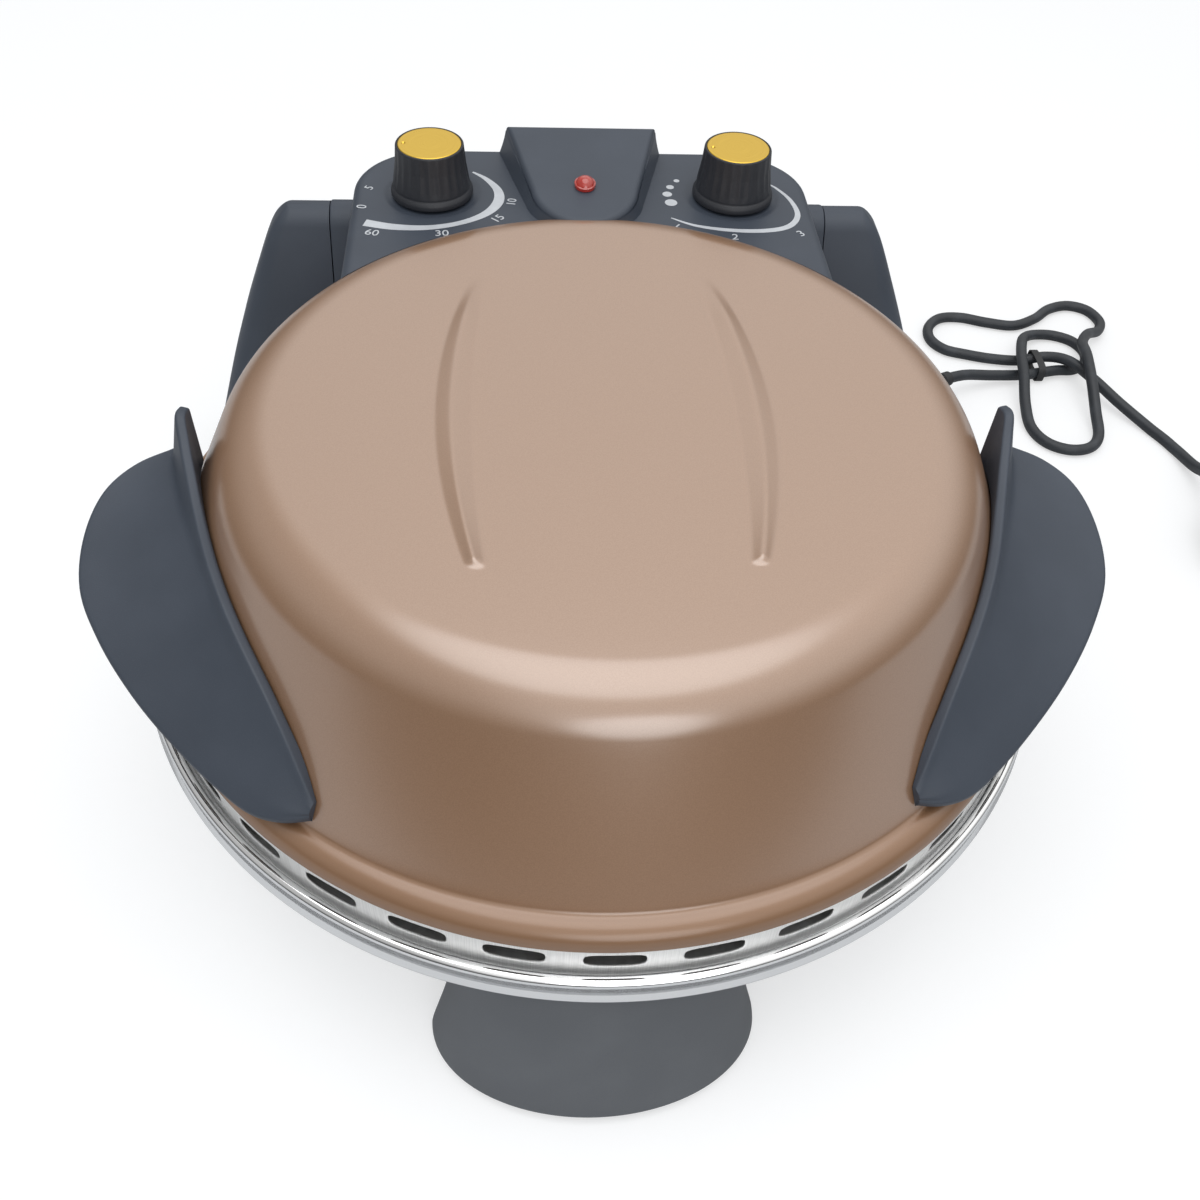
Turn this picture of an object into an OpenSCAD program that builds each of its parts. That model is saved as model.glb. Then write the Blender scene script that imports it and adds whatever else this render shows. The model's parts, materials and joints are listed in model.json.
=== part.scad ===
// Countertop pizza oven with a hinged dome lid, a slotted vent ring and a baking stone.
// Millimetres. The origin is on the table under the lid's axis, +Z is up and -Y is the front.

/* [Ring and lid] */
// Outer radius of the slotted ring that closes on the base
ring_r = 168; // [162:1:172]
// Height of the ring's lower edge above the table
ring_foot_z = 66; // [63:0.5:70]
// Height of the slotted ring
ring_h = 15.4; // [13:0.2:17]
// Thickness of the ring and reflector sheet
steel_t = 1; // [0.8:0.1:1.3]
// Number of slots round the ring
slot_count = 34; // [28:2:36]
// Turn of the front slot from the middle
slot_turn = -1; // [-5:0.5:5]
// Length of a slot
slot_l = 19.5; // [15:0.5:21]
// Height of a slot
slot_h = 7.2; // [5:0.2:8]
// Corner radius of a slot
slot_corner = 2.4; // [1:0.2:2.4]
// Rise of the lid from the ring to its flat top
lid_rise = 74.6; // [71:0.2:77]
// Distance from the ring in to the edge of the flat top
lid_flat_in = 54; // [51:1:58]
// Radius of the shoulder's curve
shoulder_r = 23; // [20:1:25]
// Radius of the rolled bead at the lid's edge
bead_r = 6.7; // [5:0.1:7]
// Height of the bead's centre above the ring
bead_rise = 1.6; // [1:0.1:2]
// Width of the lid's foot outside the flank
flank_inset = 8; // [7:0.2:9]
// Height of the crease between the flank and the bead, above the ring
crease_rise = 8.6; // [7:0.2:9]
// Thickness of the lid's sheet
lid_t = 1.8; // [1.5:0.1:2]
// Height of the pressed ribs on the top
rib_h = 2.6; // [1.5:0.1:3.5]
// Half of the ribs' length
rib_half_l = 79; // [60:1:84]
// Distance of a rib's tips from the middle
rib_tip_x = 43.5; // [36:0.5:48]
// Bulge of a rib's outer edge
rib_bulge = 14; // [8:0.5:18]
// Height of the reflector's ceiling above the ring
dome_h = 47; // [44:1:50]

/* [Ear handles] */
// Widest reach of the ears outside the ring
ear_out = 15.5; // [12:0.5:18]
// Height of the rear fins above the ring's top
fin_h = 72.6; // [70:0.2:76]
// Thickness of an ear's upper edge
ear_edge_t = 3.4; // [2.5:0.1:4]
// Thickness of an ear's plate
ear_plate_t = 4; // [3:0.1:5]

/* [Console] */
// Half of the console's width at the panel
console_half_w = 99; // [96:0.5:100]
// Height of the console's panel above the ring's top
panel_rise = 69.6; // [68:0.2:71]
// Reach of the console's rear face behind the ring
console_out = 20.5; // [19:0.5:21]
// Corner radius of the console in plan
console_corner = 33; // [26:1:36]
// Depth of the console's body below the panel
console_depth = 45; // [42:0.5:47]
// Wall thickness of the console
console_t = 2.6; // [2:0.1:3]
// Half of the pod's width at the rear
pod_half_w = 33; // [29:0.5:36]
// Height of the pod's rear edge above the panel
pod_rise = 15; // [12:0.5:17]
// Radius of the pod's rounded tip
pod_tip_r = 23; // [20:0.5:25]
// Length of the pod from its tip to its rear edge
pod_l = 62; // [57:0.5:63]
// Height of the pod's tip above the panel
pod_tip_rise = 4; // [3:0.5:5]

/* [Knobs and lamp] */
// Distance of a knob's axis from the middle
knob_x = 65; // [60:0.5:68]
// Distance of a knob's axis from the console's rear face
knob_in = 39.5; // [36.5:0.5:40.5]
// Diameter of a knob's skirt
knob_skirt_d = 35; // [33:0.5:37]
// Diameter of a knob's grip at its top
knob_top_d = 28.6; // [27:0.2:30]
// Height of a knob
knob_h = 22; // [20:0.5:24]
// Number of flutes round a knob
flute_count = 24; // [20:2:28]
// Diameter of a knob's gold disc
disc_d = 26.6; // [24:0.2:26.8]
// Diameter of a control's shaft
shaft_d = 6; // [5:0.5:7]
// Diameter of the lamp's lens
lamp_d = 9; // [8:0.5:10]
// Distance of the lamp from the pod's tip
lamp_in = 22.5; // [20:0.5:26]

/* [Hinge] */
// Distance of the hinge's axis from the console's rear face
hinge_in = 20.5; // [19.5:0.5:21]
// Height of the hinge's axis above the ring's top
hinge_rise = 42.6; // [41:0.2:44]
// Diameter of the console's hinge collars
collar_d = 21.6; // [20:0.2:22]
// Distance of the collars' outer faces from the middle
collar_x = 112; // [111:0.5:114]
// Diameter of a hinge pin
pin_d = 8; // [6:0.5:9]
// Diameter of the legs' rounded tops
barrel_d = 20.6; // [19:0.2:21.4]
// Length of a hinge pin
pin_l = 36; // [32:1:38]

/* [Base] */
// Reach of the bowl's chrome band outside the ring
bowl_out = 5; // [4.6:0.1:6]
// Thickness of the bowl's sheet
bowl_t = 1.2; // [1:0.1:1.4]
// Radius of the bowl's rolled rim
rim_r = 2; // [1.8:0.05:2.1]
// Height of the bowl's floor above the table
bowl_floor_z = 24; // [22:0.5:26]
// Thickness of the inner tray's sheet
tray_t = 1; // [0.8:0.1:1.2]
// Depth of the inner tray below its flange
tray_depth = 28.7; // [26:0.1:30]
// Distance from the ring in to the stone's edge
stone_in = 13; // [12:0.5:16]
// Thickness of the baking stone
stone_h = 12; // [10:0.5:13]
// Diameter of the heating elements' tube
element_d = 6.4; // [6:0.1:7]
// Distance from the ring in to the upper element's loop
upper_loop_in = 72; // [70:1:83]
// Distance from the ring in to the lower element's loop
lower_loop_in = 78; // [66:1:88]
// Distance from the bowl's flat floor in to the bottom cover's edge
cover_in = 4; // [2:0.5:9]
// Depth of the bottom cover
cover_h = 12; // [10:0.5:14]

/* [Legs and foot] */
// Reach of the front foot and of the legs outside the ring
base_out = 22; // [20:0.5:24]
// Sideways reach of the legs outside the ring
leg_out = 15; // [12:0.5:18]
// Half of the front foot's width at the table
foot_half_w = 57; // [54:0.5:60]
// Sideways place of the front foot
foot_x = -6; // [-8:0.5:8]
// Diameter of a foot pad
pad_d = 18; // [14:0.5:20]
// Height of a foot pad
pad_h = 3; // [2:0.25:4]

/* [Cord] */
// Diameter of the mains cord
cord_d = 6; // [5.8:0.1:6]
// Length of the tapered strain relief
gland_l = 30; // [26:1:32]
// Diameter of the plug's body
plug_d = 36; // [34:0.5:38]
// Diameter of a plug pin
plug_pin_d = 4.8; // [4:0.1:5]
// Spacing of the plug's pins
plug_pitch = 19; // [18:0.5:20]

/* [Hidden] */
$fn = 72;
// Clearance of a seat, a running fit and a pin in its bore
seat = 0.3;
running = 0.05;
past = 1;
axle_gap = 0.4;

// Heights that follow from the ring
ring_top = ring_foot_z + ring_h;
lid_top = ring_top + lid_rise;
panel_z = ring_top + panel_rise;
hinge_z = ring_top + hinge_rise;
console_floor_z = panel_z - console_depth;
dome_top = ring_top + dome_h;

// Reaches from the lid's axis that follow from the ring
lid_flat_r = ring_r - lid_flat_in;
ear_reach = ring_r + ear_out;
console_rear_y = ring_r + console_out;
hinge_y = console_rear_y - hinge_in;
knob_y = console_rear_y - knob_in;
bowl_r = ring_r + bowl_out;
stone_d = 2 * (ring_r - stone_in);
upper_loop_r = ring_r - upper_loop_in;
lower_loop_r = ring_r - lower_loop_in;
base_reach = ring_r + base_out;
leg_reach = ring_r + leg_out;

// Reflector: distances in from the ring and down from the ceiling
reflector_foot_in = 15;
reflector_steps = [[34, 14], [46, 4], [62, 0]];

// The flank is the line from its foot that touches the shoulder's circle
shoulder_at = [lid_flat_r, lid_top - shoulder_r];
bead_at = [ring_r - bead_r, ring_top + bead_rise];
flank_foot = [ring_r - flank_inset, ring_top + crease_rise];
foot_away = flank_foot - shoulder_at;
flank_a = atan2(foot_away[1], foot_away[0]) + acos(shoulder_r / norm(foot_away));
flank_out = [cos(flank_a), sin(flank_a)];
function flank_r(z) = flank_foot[0] - (z - flank_foot[1]) * tan(flank_a);

// Handle screws: azimuth from the front, height, size
handle_screw_at = [50, 72];
handle_screw_z = ring_top + 22;
handle_screw_d = 4;
screw_head_d = 8;
screw_head_h = 2.4;
handle_screw_l = 9;

// Base heights
tray_flange_z = ring_foot_z - seat;
tray_floor_z = tray_flange_z - tray_depth;
rim_z = ring_foot_z + 2.4;
rim_c = bowl_r - rim_r + 0.3;
stone_z = ring_foot_z - stone_h;
tray_step_r = stone_d / 2 + 2.5;
tray_ledge_r = stone_d / 2 - 9;
tray_floor_r = bowl_r - 55;
post_r = 5;
post_ring_r = 60;
post_count = 3;
band_h = 8.8;
// Bowl below its band: distances in from the band and down from the rim
bowl_taper = [[8, 15], [23, 29], [45, 41.5], [61, 44.4]];
bowl_floor_r = bowl_r - bowl_taper[3][0];
cover_d = 2 * (bowl_floor_r - cover_in);

// Elements
element_r = element_d / 2;
upper_element_z = dome_top - steel_t - 9;
lower_element_z = tray_floor_z + 9;
element_gap = 18;
terminal_l = 16;
clip_count = 3;
clip_wall = 1.4;
clip_w = 7;

// Leg: outer edge seen from the front and the foot's corners in plan
hinge_top = hinge_z + barrel_d / 2;
leg_in = collar_x + axle_gap;
leg_front_y = 104;
leg_foot_in = 92;
leg_corner = 14;
leg_neck_z = [ring_foot_z - 12, ring_foot_z + 8];
leg_edge = [[leg_in + 18.6, hinge_top], [leg_in + 26.6, hinge_z + 1.5], [leg_in + 36, hinge_z - 19],
    [leg_in + 47.6, hinge_z - 48], [leg_reach - 12, 42], [leg_reach, pad_h]];

// Front foot levels: height, half width, front reach, inner reach
foot_rows = [
    [pad_h, foot_half_w, base_reach, base_reach - 68],
    [9, foot_half_w - 1, base_reach - 2, base_reach - 68],
    [24, foot_half_w - 5, base_reach - 8, base_reach - 66],
    [42, foot_half_w - 9, base_reach - 15, base_reach - 62],
    [60, foot_half_w - 12, base_reach - 20, base_reach - 58]];
foot_steps = 14;

foot_pad_at = [36, base_reach - 40];
leg_pads_at = [[leg_reach - 23, base_reach - 50], [collar_x + 6, base_reach - 20]];

// Strain relief: where it leaves the right leg and its direction in plan
gland_at = [166, 172.5, 14];
gland_a = 30;
gland_root_d = 13;
gland_root_l = 22;
gland_way = [cos(gland_a), sin(gland_a), 0];
gland_end = gland_at + (gland_root_l + gland_l) * gland_way;

// Cord route, chosen by hand
lead_route = [
    gland_end, [224, 205.5, 11], [242, 211, 6.5], [262, 214, 4.6], [282, 218, 4.6]];
bundle_route = [
    [282, 218, 4.6], [293, 220, 3.6], [302, 226, 3.2], [306, 237, 3.2], [302, 248, 3.2], [292, 254, 3.2],
    [280, 253, 4.4], [271, 246, 7.4], [265, 235, 11], [260, 220, 12.6], [257, 204, 11.4], [254, 186, 6],
    [253, 169, 3.2], [258, 156, 3.2], [269, 150, 3.2], [281, 152, 3.2], [289, 162, 3.2], [291, 177, 7.5],
    [292, 194, 15], [294, 213, 19], [299, 231, 14.5], [308, 245, 10.6], [320, 256, 5], [326, 268, 3.2],
    [322, 280, 3.2], [311, 285, 3.2], [298, 281, 3.2], [286, 271, 3.2], [271, 264, 3.2], [255, 267, 3.2],
    [240, 272, 3.2], [227, 271, 3.2], [218, 262, 3.2], [216, 250, 3.2], [222, 240, 3.2],
    [234, 235, 3.2], [248, 231, 3.2], [263, 228, 4.2], [277, 226, 8.4]];
tail_route = [
    [277, 226, 8.4], [288, 218, 11.2], [298, 203, 9.6], [308, 186, 6.5], [320, 168, 3.2],
    [328, 150, 3.2], [330, 132, 7], [329, 116, 15], [328, 104, 18]];
cord_sides = 8;
free_steps = 2;
// Directions in which the lead goes over into the bundle, and the bundle into the tail
into_bundle = bundle_route[1] - lead_route[len(lead_route) - 2];
into_tail = tail_route[1] - bundle_route[len(bundle_route) - 2];

// Tie round the bundle
tie_at = [271, 221.5, 5.6];
tie_l = 4;
tie_w = 19;
tie_h = 9.4;
tie_t = 0.8;

plug_at = [328, 104, 18];
plug_neck_l = 14;
plug_l = 34;
plug_pin_l = 19;

// Smooth curve through a list of points, with steps pieces between neighbours
function spline_at(a, b, c, d, t) =
    0.5 * (2 * b + (c - a) * t + (2 * a - 5 * b + 4 * c - d) * t * t + (3 * b - a - 3 * c + d) * t * t * t);
function smooth(list, steps) = let (last = len(list) - 1) concat(
    [for (i = [0:last - 1], k = [0:steps - 1])
        spline_at(list[max(i - 1, 0)], list[i], list[i + 1], list[min(i + 2, last)], k / steps)],
    [list[last]]);

// Sheet profile: a line of points and the same line moved sideways by the thickness
function side(a, b) = [a[1] - b[1], b[0] - a[0]] / norm(b - a);
function moved(list, t) = let (last = len(list) - 1) [for (i = [0:last])
    let (m = (side(list[max(i - 1, 0)], list[max(i, 1)])
            + side(list[min(i, last - 1)], list[min(i + 1, last)])) / 2)
    list[i] + m * t / (m * m)];
function flipped(list) = [for (i = [len(list) - 1:-1:0]) list[i]];
function sheet(list, t) = concat(list, flipped(moved(list, t)));

// Solid skinned over equal rings of points, the first ring seen anticlockwise from the last
module loft(rings) {
    count = len(rings[0]);
    last = len(rings) - 1;
    polyhedron(
        points = [for (ring = rings) each ring],
        faces = concat(
            [[for (j = [0:count - 1]) j]],
            [for (i = [0:last - 1], j = [0:count - 1])
                [i * count + j, (i + 1) * count + j, i * count + (j + 1) % count]],
            [for (i = [0:last - 1], j = [0:count - 1])
                [(i + 1) * count + j, (i + 1) * count + (j + 1) % count, i * count + (j + 1) % count]],
            [[for (j = [count - 1:-1:0]) last * count + j]]),
        convexity = 8);
}

// Rounded rectangle in plan, at height z
function rounded(x0, x1, y0, y1, r, z, steps = 6) = [for (corner = [0:3], k = [0:steps])
    let (a = 90 * (corner + k / steps),
        cx = corner == 0 || corner == 3 ? x1 - r : x0 + r,
        cy = corner < 2 ? y1 - r : y0 + r)
    [cx + r * cos(a), cy + r * sin(a), z]];

// Both sides of the object
module mirrored(right) {
    if (right) children();
    else mirror([1, 0, 0]) children();
}

// Half section of the lid's outer form, moved inwards by off, down to the height low
module lid_region(off, low) {
    foot = flank_foot - off * flank_out;
    polygon([[0, low], [ring_r - off, low], [ring_r - off, bead_at[1]],
        [foot[0] + (foot[1] - bead_at[1]) * tan(flank_a), bead_at[1]],
        shoulder_at + (shoulder_r - off) * flank_out, [lid_flat_r, lid_top - off], [0, lid_top - off]]);
    translate(shoulder_at) circle(r = shoulder_r - off);
    translate(bead_at) circle(r = bead_r - off);
}

// Crescent rib: its edges bulge by rib_bulge and by a little, and the crest runs between them
module rib() {
    rows = 16;
    inner_bulge = 2.5;
    crest_share = 0.5;
    sink = 0.6;
    rings = [for (i = [0:rows])
        let (t = -1 + 2 * i / rows,
            y = t * rib_half_l,
            bow = 1 - t * t,
            x0 = rib_tip_x + inner_bulge * bow - 0.4,
            x1 = rib_tip_x + rib_bulge * bow + 0.4,
            crest = x0 + crest_share * (x1 - x0),
            top = rib_h * min(1, 2.4 * bow) + 0.1)
        [[x0, y, lid_top - sink], [x1, y, lid_top - sink],
            [x1, y, lid_top], [(crest + x1) / 2, y, lid_top + 0.62 * top],
            [crest, y, lid_top + top],
            [(crest + x0) / 2, y, lid_top + 0.62 * top], [x0, y, lid_top]]];
    loft(flipped(rings));
}

// Places a child at each handle screw, its axis along the flank's outward normal
module at_handle_screws() {
    for (way = [-1, 1], a = handle_screw_at)
        rotate([0, 0, -90 + way * a])
            translate([flank_r(handle_screw_z), 0, handle_screw_z])
                rotate([0, 90 - flank_a, 0]) children();
}

module lid_shell() {
    wire_hole_r = 6;
    color("#b08a6c") difference() {
        union() {
            rotate_extrude() difference() {
                lid_region(0, ring_top);
                lid_region(lid_t, ring_top - past);
            }
            rib();
            mirror([1, 0, 0]) rib();
        }
        translate([0, 0, ring_top - 2 * bead_r]) cylinder(r = ring_r + past, h = 2 * bead_r);
        at_handle_screws() cylinder(d = handle_screw_d + 2 * running, h = 4 * lid_t, center = true);
        translate([0, 0, console_floor_z + wire_hole_r + 8]) rotate([-90, 0, 0])
            cylinder(r = wire_hole_r, h = ring_r);
        at_console_screws() cylinder(d = console_screw_d + 2 * running, h = 4 * lid_t, center = true);
    }
}

module slot() {
    straight_l = slot_l - 2 * slot_corner;
    straight_h = slot_h - 2 * slot_corner;
    linear_extrude(8 * steel_t, center = true) union() {
        square([slot_l, straight_h], center = true);
        square([straight_l, slot_h], center = true);
        for (x = [-1, 1], y = [-1, 1])
            translate([x * straight_l / 2, y * straight_h / 2]) circle(r = slot_corner);
    }
}

// Reflector dome and slotted ring, one pressing
module reflector_dome() {
    line = concat([[ring_r, ring_foot_z], [ring_r, ring_top], [ring_r - reflector_foot_in, ring_top]],
        [for (p = reflector_steps) [ring_r - p[0], dome_top - p[1]]], [[0, dome_top]]);
    slot_z = ring_foot_z + 10;
    color("#c4c6c8") difference() {
        rotate_extrude() polygon(sheet(line, steel_t));
        for (i = [0:slot_count - 1])
            rotate([0, 0, slot_turn + i * 360 / slot_count]) translate([0, -ring_r, slot_z]) rotate([90, 0, 0]) slot();
        for (x = [-1, 1]) translate([x * element_gap / 2, upper_loop_r, dome_top])
            cylinder(r = element_r + seat, h = 4 * steel_t, center = true);
    }
}

// Heating loop with its ends turned to one side by way, at height z
module heating_loop(loop_r, z, way) {
    difference() {
        translate([0, 0, z]) rotate_extrude() translate([loop_r, 0]) circle(d = element_d);
        translate([-element_gap / 2, loop_r - 2 * element_d, z - element_d])
            cube([element_gap, 4 * element_d, 2 * element_d]);
    }
    for (x = [-1, 1]) translate([x * element_gap / 2, loop_r, z]) {
        sphere(d = element_d);
        mirror([0, 0, way < 0 ? 1 : 0]) cylinder(d = element_d, h = terminal_l);
    }
}

// Strap clips that hold a heating loop at height z to the sheet at height from_z
module loop_clips(loop_r, z, from_z) {
    eye_r = element_r + clip_wall;
    low = min(z, from_z);
    for (i = [0:clip_count - 1]) rotate([0, 0, -90 + i * 360 / clip_count]) translate([loop_r, 0, 0])
        difference() {
            union() {
                translate([0, 0, z]) rotate([90, 0, 0]) cylinder(r = eye_r, h = clip_w, center = true);
                translate([-eye_r / 2, -clip_w / 2, low]) cube([eye_r, clip_w, abs(z - from_z)]);
            }
            translate([-loop_r, 0, z]) rotate_extrude()
                translate([loop_r, 0]) circle(d = element_d + 2 * running);
        }
}

module upper_element() {
    color("#55585c") heating_loop(upper_loop_r, upper_element_z, 1);
}

module upper_element_clips() {
    color("#b9bcc0") loop_clips(upper_loop_r, upper_element_z, dome_top - steel_t);
}

// Ear stations: azimuth from the front, ridge r and z, crease r and z, plate edge r and z,
// with heights above the ring's top and the edge's radius short of the widest reach.
// They are given for a ring of 168 mm radius and a fin of 72.6 mm, and grow with both.
ear_r_unit = ring_r / 168;
ear_z_unit = fin_h / 72.6;
ear_stations = [
    [37, 157.2, 19.6, 158.4, 18, -23.7, 16],
    [39.5, 154.8, 28, 156.6, 24.6, -18, 15.4],
    [43, 151.6, 36.5, 153.6, 33, -14, 15.2],
    [48, 148.2, 44, 150.4, 40.5, -12, 17.4],
    [54, 145.6, 49.5, 147.6, 46, -9.5, 21],
    [61, 143.6, 54, 145.4, 50.5, -5.7, 26.8],
    [68, 142.4, 56.6, 144.4, 52.8, -2, 32.8],
    [74, 142.2, 58.6, 145, 53.4, 0, 38],
    [80, 143, 62.6, 147, 53.4, -3, 43.6],
    [85, 144.6, 67.6, 149, 53.2, -9.5, 48.6],
    [88.5, 146, 72.6, 150.6, 53, -19.5, 51.4],
    [91, 146, 71.1, 150.6, 52.6, -30.5, 51.8]];
ear_steps = 3;

// One section of an ear: up the flank, over the edge, down to the crease, out along the plate
function ear_section(s) =
    let (ridge_r = ear_r_unit * s[1], ridge_z = ring_top + ear_z_unit * s[2],
        crease_r = ear_r_unit * s[3], crease_z = ring_top + ear_z_unit * s[4],
        edge_r = ear_reach + ear_r_unit * s[5], edge_z = ring_top + ear_z_unit * s[6],
        depth = min(22, ear_plate_t + 1.5 + 1.5 * (s[0] - ear_stations[0][0])),
        wall_foot_z = max(flank_foot[1] + 1.2, crease_z - depth),
        hug = seat / cos(flank_a),
        inner_r = max(ridge_r - ear_edge_t, flank_r(ridge_z - 0.8) + hug),
        top_z = min(ridge_z - 1, flank_foot[1] + (flank_foot[0] + 2.2 * seat - inner_r) / tan(flank_a)),
        reach = edge_r - crease_r,
        drop = edge_z - crease_z,
        sag = 0.05 * reach,
        skin = ear_plate_t,
        line = [
            [flank_r(wall_foot_z) + hug, wall_foot_z],
            [flank_r(top_z) + hug, top_z],
            [inner_r, ridge_z - 0.8],
            [ridge_r - 0.6, ridge_z],
            [ridge_r + 0.2, ridge_z - 0.8],
            [crease_r, crease_z],
            [crease_r + 0.22 * reach, crease_z + 0.22 * drop - 0.7 * sag],
            [crease_r + 0.5 * reach, crease_z + 0.5 * drop - sag],
            [crease_r + 0.78 * reach, crease_z + 0.78 * drop - 0.7 * sag],
            [edge_r - 0.8, edge_z],
            [edge_r, edge_z - 1],
            [edge_r - 0.3, edge_z - skin + 0.8],
            [edge_r - 1.4, edge_z - skin],
            [crease_r + 0.5 * reach, crease_z + 0.5 * drop - sag - skin - 1],
            [crease_r + 0.16 * reach, crease_z + 0.16 * drop - skin - 0.2 * depth + 1],
            [min(flank_r(wall_foot_z) + hug + ear_edge_t, crease_r + 0.3 * reach - 0.2), wall_foot_z]])
    [for (p = line) [p[0] * sin(s[0]), -p[0] * cos(s[0]), p[1]]];

module ear_handle(right) {
    color("#34373c") mirrored(right) difference() {
        loft([for (s = smooth(ear_stations, ear_steps)) ear_section(s)]);
        at_handle_screws() cylinder(d = handle_screw_d + 2 * running, h = handle_screw_l + seat);
    }
}

module handle_screws() {
    color("#a8abae") at_handle_screws() {
        translate([0, 0, -lid_t - seat]) cylinder(d = handle_screw_d, h = handle_screw_l + lid_t + seat - past);
        translate([0, 0, -lid_t - seat - screw_head_h]) cylinder(d = screw_head_d, h = screw_head_h);
    }
}

// Console body in plan at height z, moved inwards by off
console_draft = 0.06;
console_front_y = 60;
function console_ring(z, off) = let (d = console_draft * (panel_z - z) - off)
    rounded(-console_half_w - d, console_half_w + d, console_front_y, console_rear_y + d,
        console_corner - off / 2, z);
// Rounded upper edge: share of the radius down from the top and in from the side
edge_roll = [for (k = [0:4]) [1 - sin(k * 22.5), 1 - cos(k * 22.5)]];
console_roll = 4.5;
function console_skin(off) = concat(
    [console_ring(console_floor_z - (off > 0 ? past : 0), off)],
    [for (e = edge_roll) console_ring(panel_z - off - console_roll * e[0], off + console_roll * e[1])]);

// Pod in plan: a straight rear edge and a round tip, with a top that slopes to the tip
pod_rear_y = console_rear_y - 7.5;
pod_tip_y = pod_rear_y - pod_l;
lamp_y = pod_tip_y + lamp_in;
pod_tip_at = pod_tip_y + pod_tip_r;
pod_slope = (pod_rise - pod_tip_rise) / (pod_rear_y - pod_tip_y);
pod_draft = 5;
pod_roll = 2.6;
pod_low = 6;
function pod_top(y) = panel_z + pod_tip_rise + (y - pod_tip_y) * pod_slope;
function pod_ring(share, off, down) = let (w = pod_half_w - off, r = pod_tip_r - off, steps = 16)
    [for (p = concat([[w, pod_rear_y - off], [-w, pod_rear_y - off]],
            [for (k = [0:steps]) let (a = 186 + 168 * k / steps)
                [r * cos(a), pod_tip_at + r * sin(a)]]))
        [p[0], p[1], (panel_z - pod_low) * (1 - share) + (pod_top(p[1]) - down) * share]];
function pod_skin(off) = concat(
    [pod_ring(0, off - pod_draft, off)],
    [for (e = edge_roll) pod_ring(1, off + pod_roll * e[1], off + pod_roll * e[0])]);

// Screws from the console into the lid's flank
console_screw_d = 4;
console_screw_z = console_floor_z + 14;
module at_console_screws() {
    for (way = [-1, 1])
        rotate([0, 0, 90 + way * 34])
            translate([flank_r(console_screw_z), 0, console_screw_z])
                rotate([0, 90 - flank_a, 0]) children();
}

// Round barrel about the hinge's axis, l long, with straight sides down to the points front and rear
module barrel(r, front, rear, l) {
    front_a = atan2(front[1], front[0]) - acos(r / norm(front));
    rear_a = atan2(rear[1], rear[0]) + acos(r / norm(rear));
    translate([0, hinge_y, hinge_z]) rotate([90, 0, 90]) {
        cylinder(r = r, h = l);
        linear_extrude(l)
            polygon([front, r * [cos(front_a), sin(front_a)], r * [cos(rear_a), sin(rear_a)], rear]);
    }
}

// Collar of the hinge on a cheek that runs down beside the console
cheek_front = [-24, -29];
cheek_rear = [8, -29];
module hinge_cheek() {
    root_x = console_half_w + 0.5;
    translate([root_x, 0, 0]) barrel(collar_d / 2, cheek_front, cheek_rear, collar_x - root_x);
}

module console_housing() {
    color("#303338") difference() {
        union() {
            difference() {
                union() {
                    loft(console_skin(0));
                    loft(pod_skin(0));
                }
                difference() {
                    union() {
                        loft(console_skin(console_t));
                        loft(pod_skin(console_t));
                    }
                    rotate_extrude() lid_region(-seat - console_t, ring_top);
                }
            }
            hinge_cheek();
            mirror([1, 0, 0]) hinge_cheek();
        }
        rotate_extrude() lid_region(-seat, ring_foot_z);
        translate([-collar_x - past, hinge_y, hinge_z]) rotate([0, 90, 0])
            cylinder(d = pin_d + 2 * running, h = 2 * collar_x + 2 * past);
        for (way = [-1, 1]) translate([way * knob_x, knob_y, panel_z])
            cylinder(d = shaft_d + 2, h = 4 * console_t, center = true);
        at_lamp() cylinder(d = lamp_d - 2, h = 6 * console_t, center = true);
        at_console_screws() cylinder(d = console_screw_d + 2 * running, h = 5 * console_t, center = true);
    }
}

module console_cover() {
    cover_t = 2.4;
    inset = console_t + seat;
    color("#26282b") difference() {
        translate([0, 0, console_floor_z]) linear_extrude(cover_t)
            polygon([for (p = console_ring(console_floor_z, inset + 0.4)) [p[0], p[1]]]);
        rotate_extrude() lid_region(-2 * seat - console_t, ring_foot_z);
    }
}

module console_screws() {
    color("#a8abae") at_console_screws() {
        translate([0, 0, -lid_t - past]) cylinder(d = console_screw_d, h = lid_t + console_t + past + seat);
        translate([0, 0, console_t + seat]) cylinder(d = screw_head_d, h = screw_head_h);
    }
}

// Fluted knob on its shaft
disc_t = 0.8;
knob_skirt_h = 3.4;
knob_roof_t = 5;
module knob(way) {
    grip_low_d = knob_top_d + 4;
    flute_r = 0.9;
    flute_out = 0.6;
    skirt_roll = 1;
    grip_h = knob_h - knob_skirt_h;
    color("#1d1e20") translate([way * knob_x, knob_y, panel_z + seat]) difference() {
        union() {
            cylinder(d = knob_skirt_d, h = knob_skirt_h - skirt_roll);
            translate([0, 0, knob_skirt_h - skirt_roll])
                cylinder(d1 = knob_skirt_d, d2 = knob_skirt_d - 2 * skirt_roll, h = skirt_roll);
            translate([0, 0, knob_skirt_h]) cylinder(d1 = grip_low_d, d2 = knob_top_d, h = grip_h);
        }
        for (i = [0:flute_count - 1]) rotate([0, 0, i * 360 / flute_count])
            translate([grip_low_d / 2 + flute_out, 0, knob_skirt_h])
                rotate([0, -atan2((grip_low_d - knob_top_d) / 2, grip_h), 0])
                    cylinder(r = flute_r, h = knob_h, $fn = 24);
        translate([0, 0, knob_h - disc_t]) cylinder(d = disc_d + 2 * running, h = past + disc_t);
        translate([0, 0, -past]) cylinder(d = shaft_d + 2 * running, h = knob_h - knob_roof_t + past);
    }
}

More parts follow.
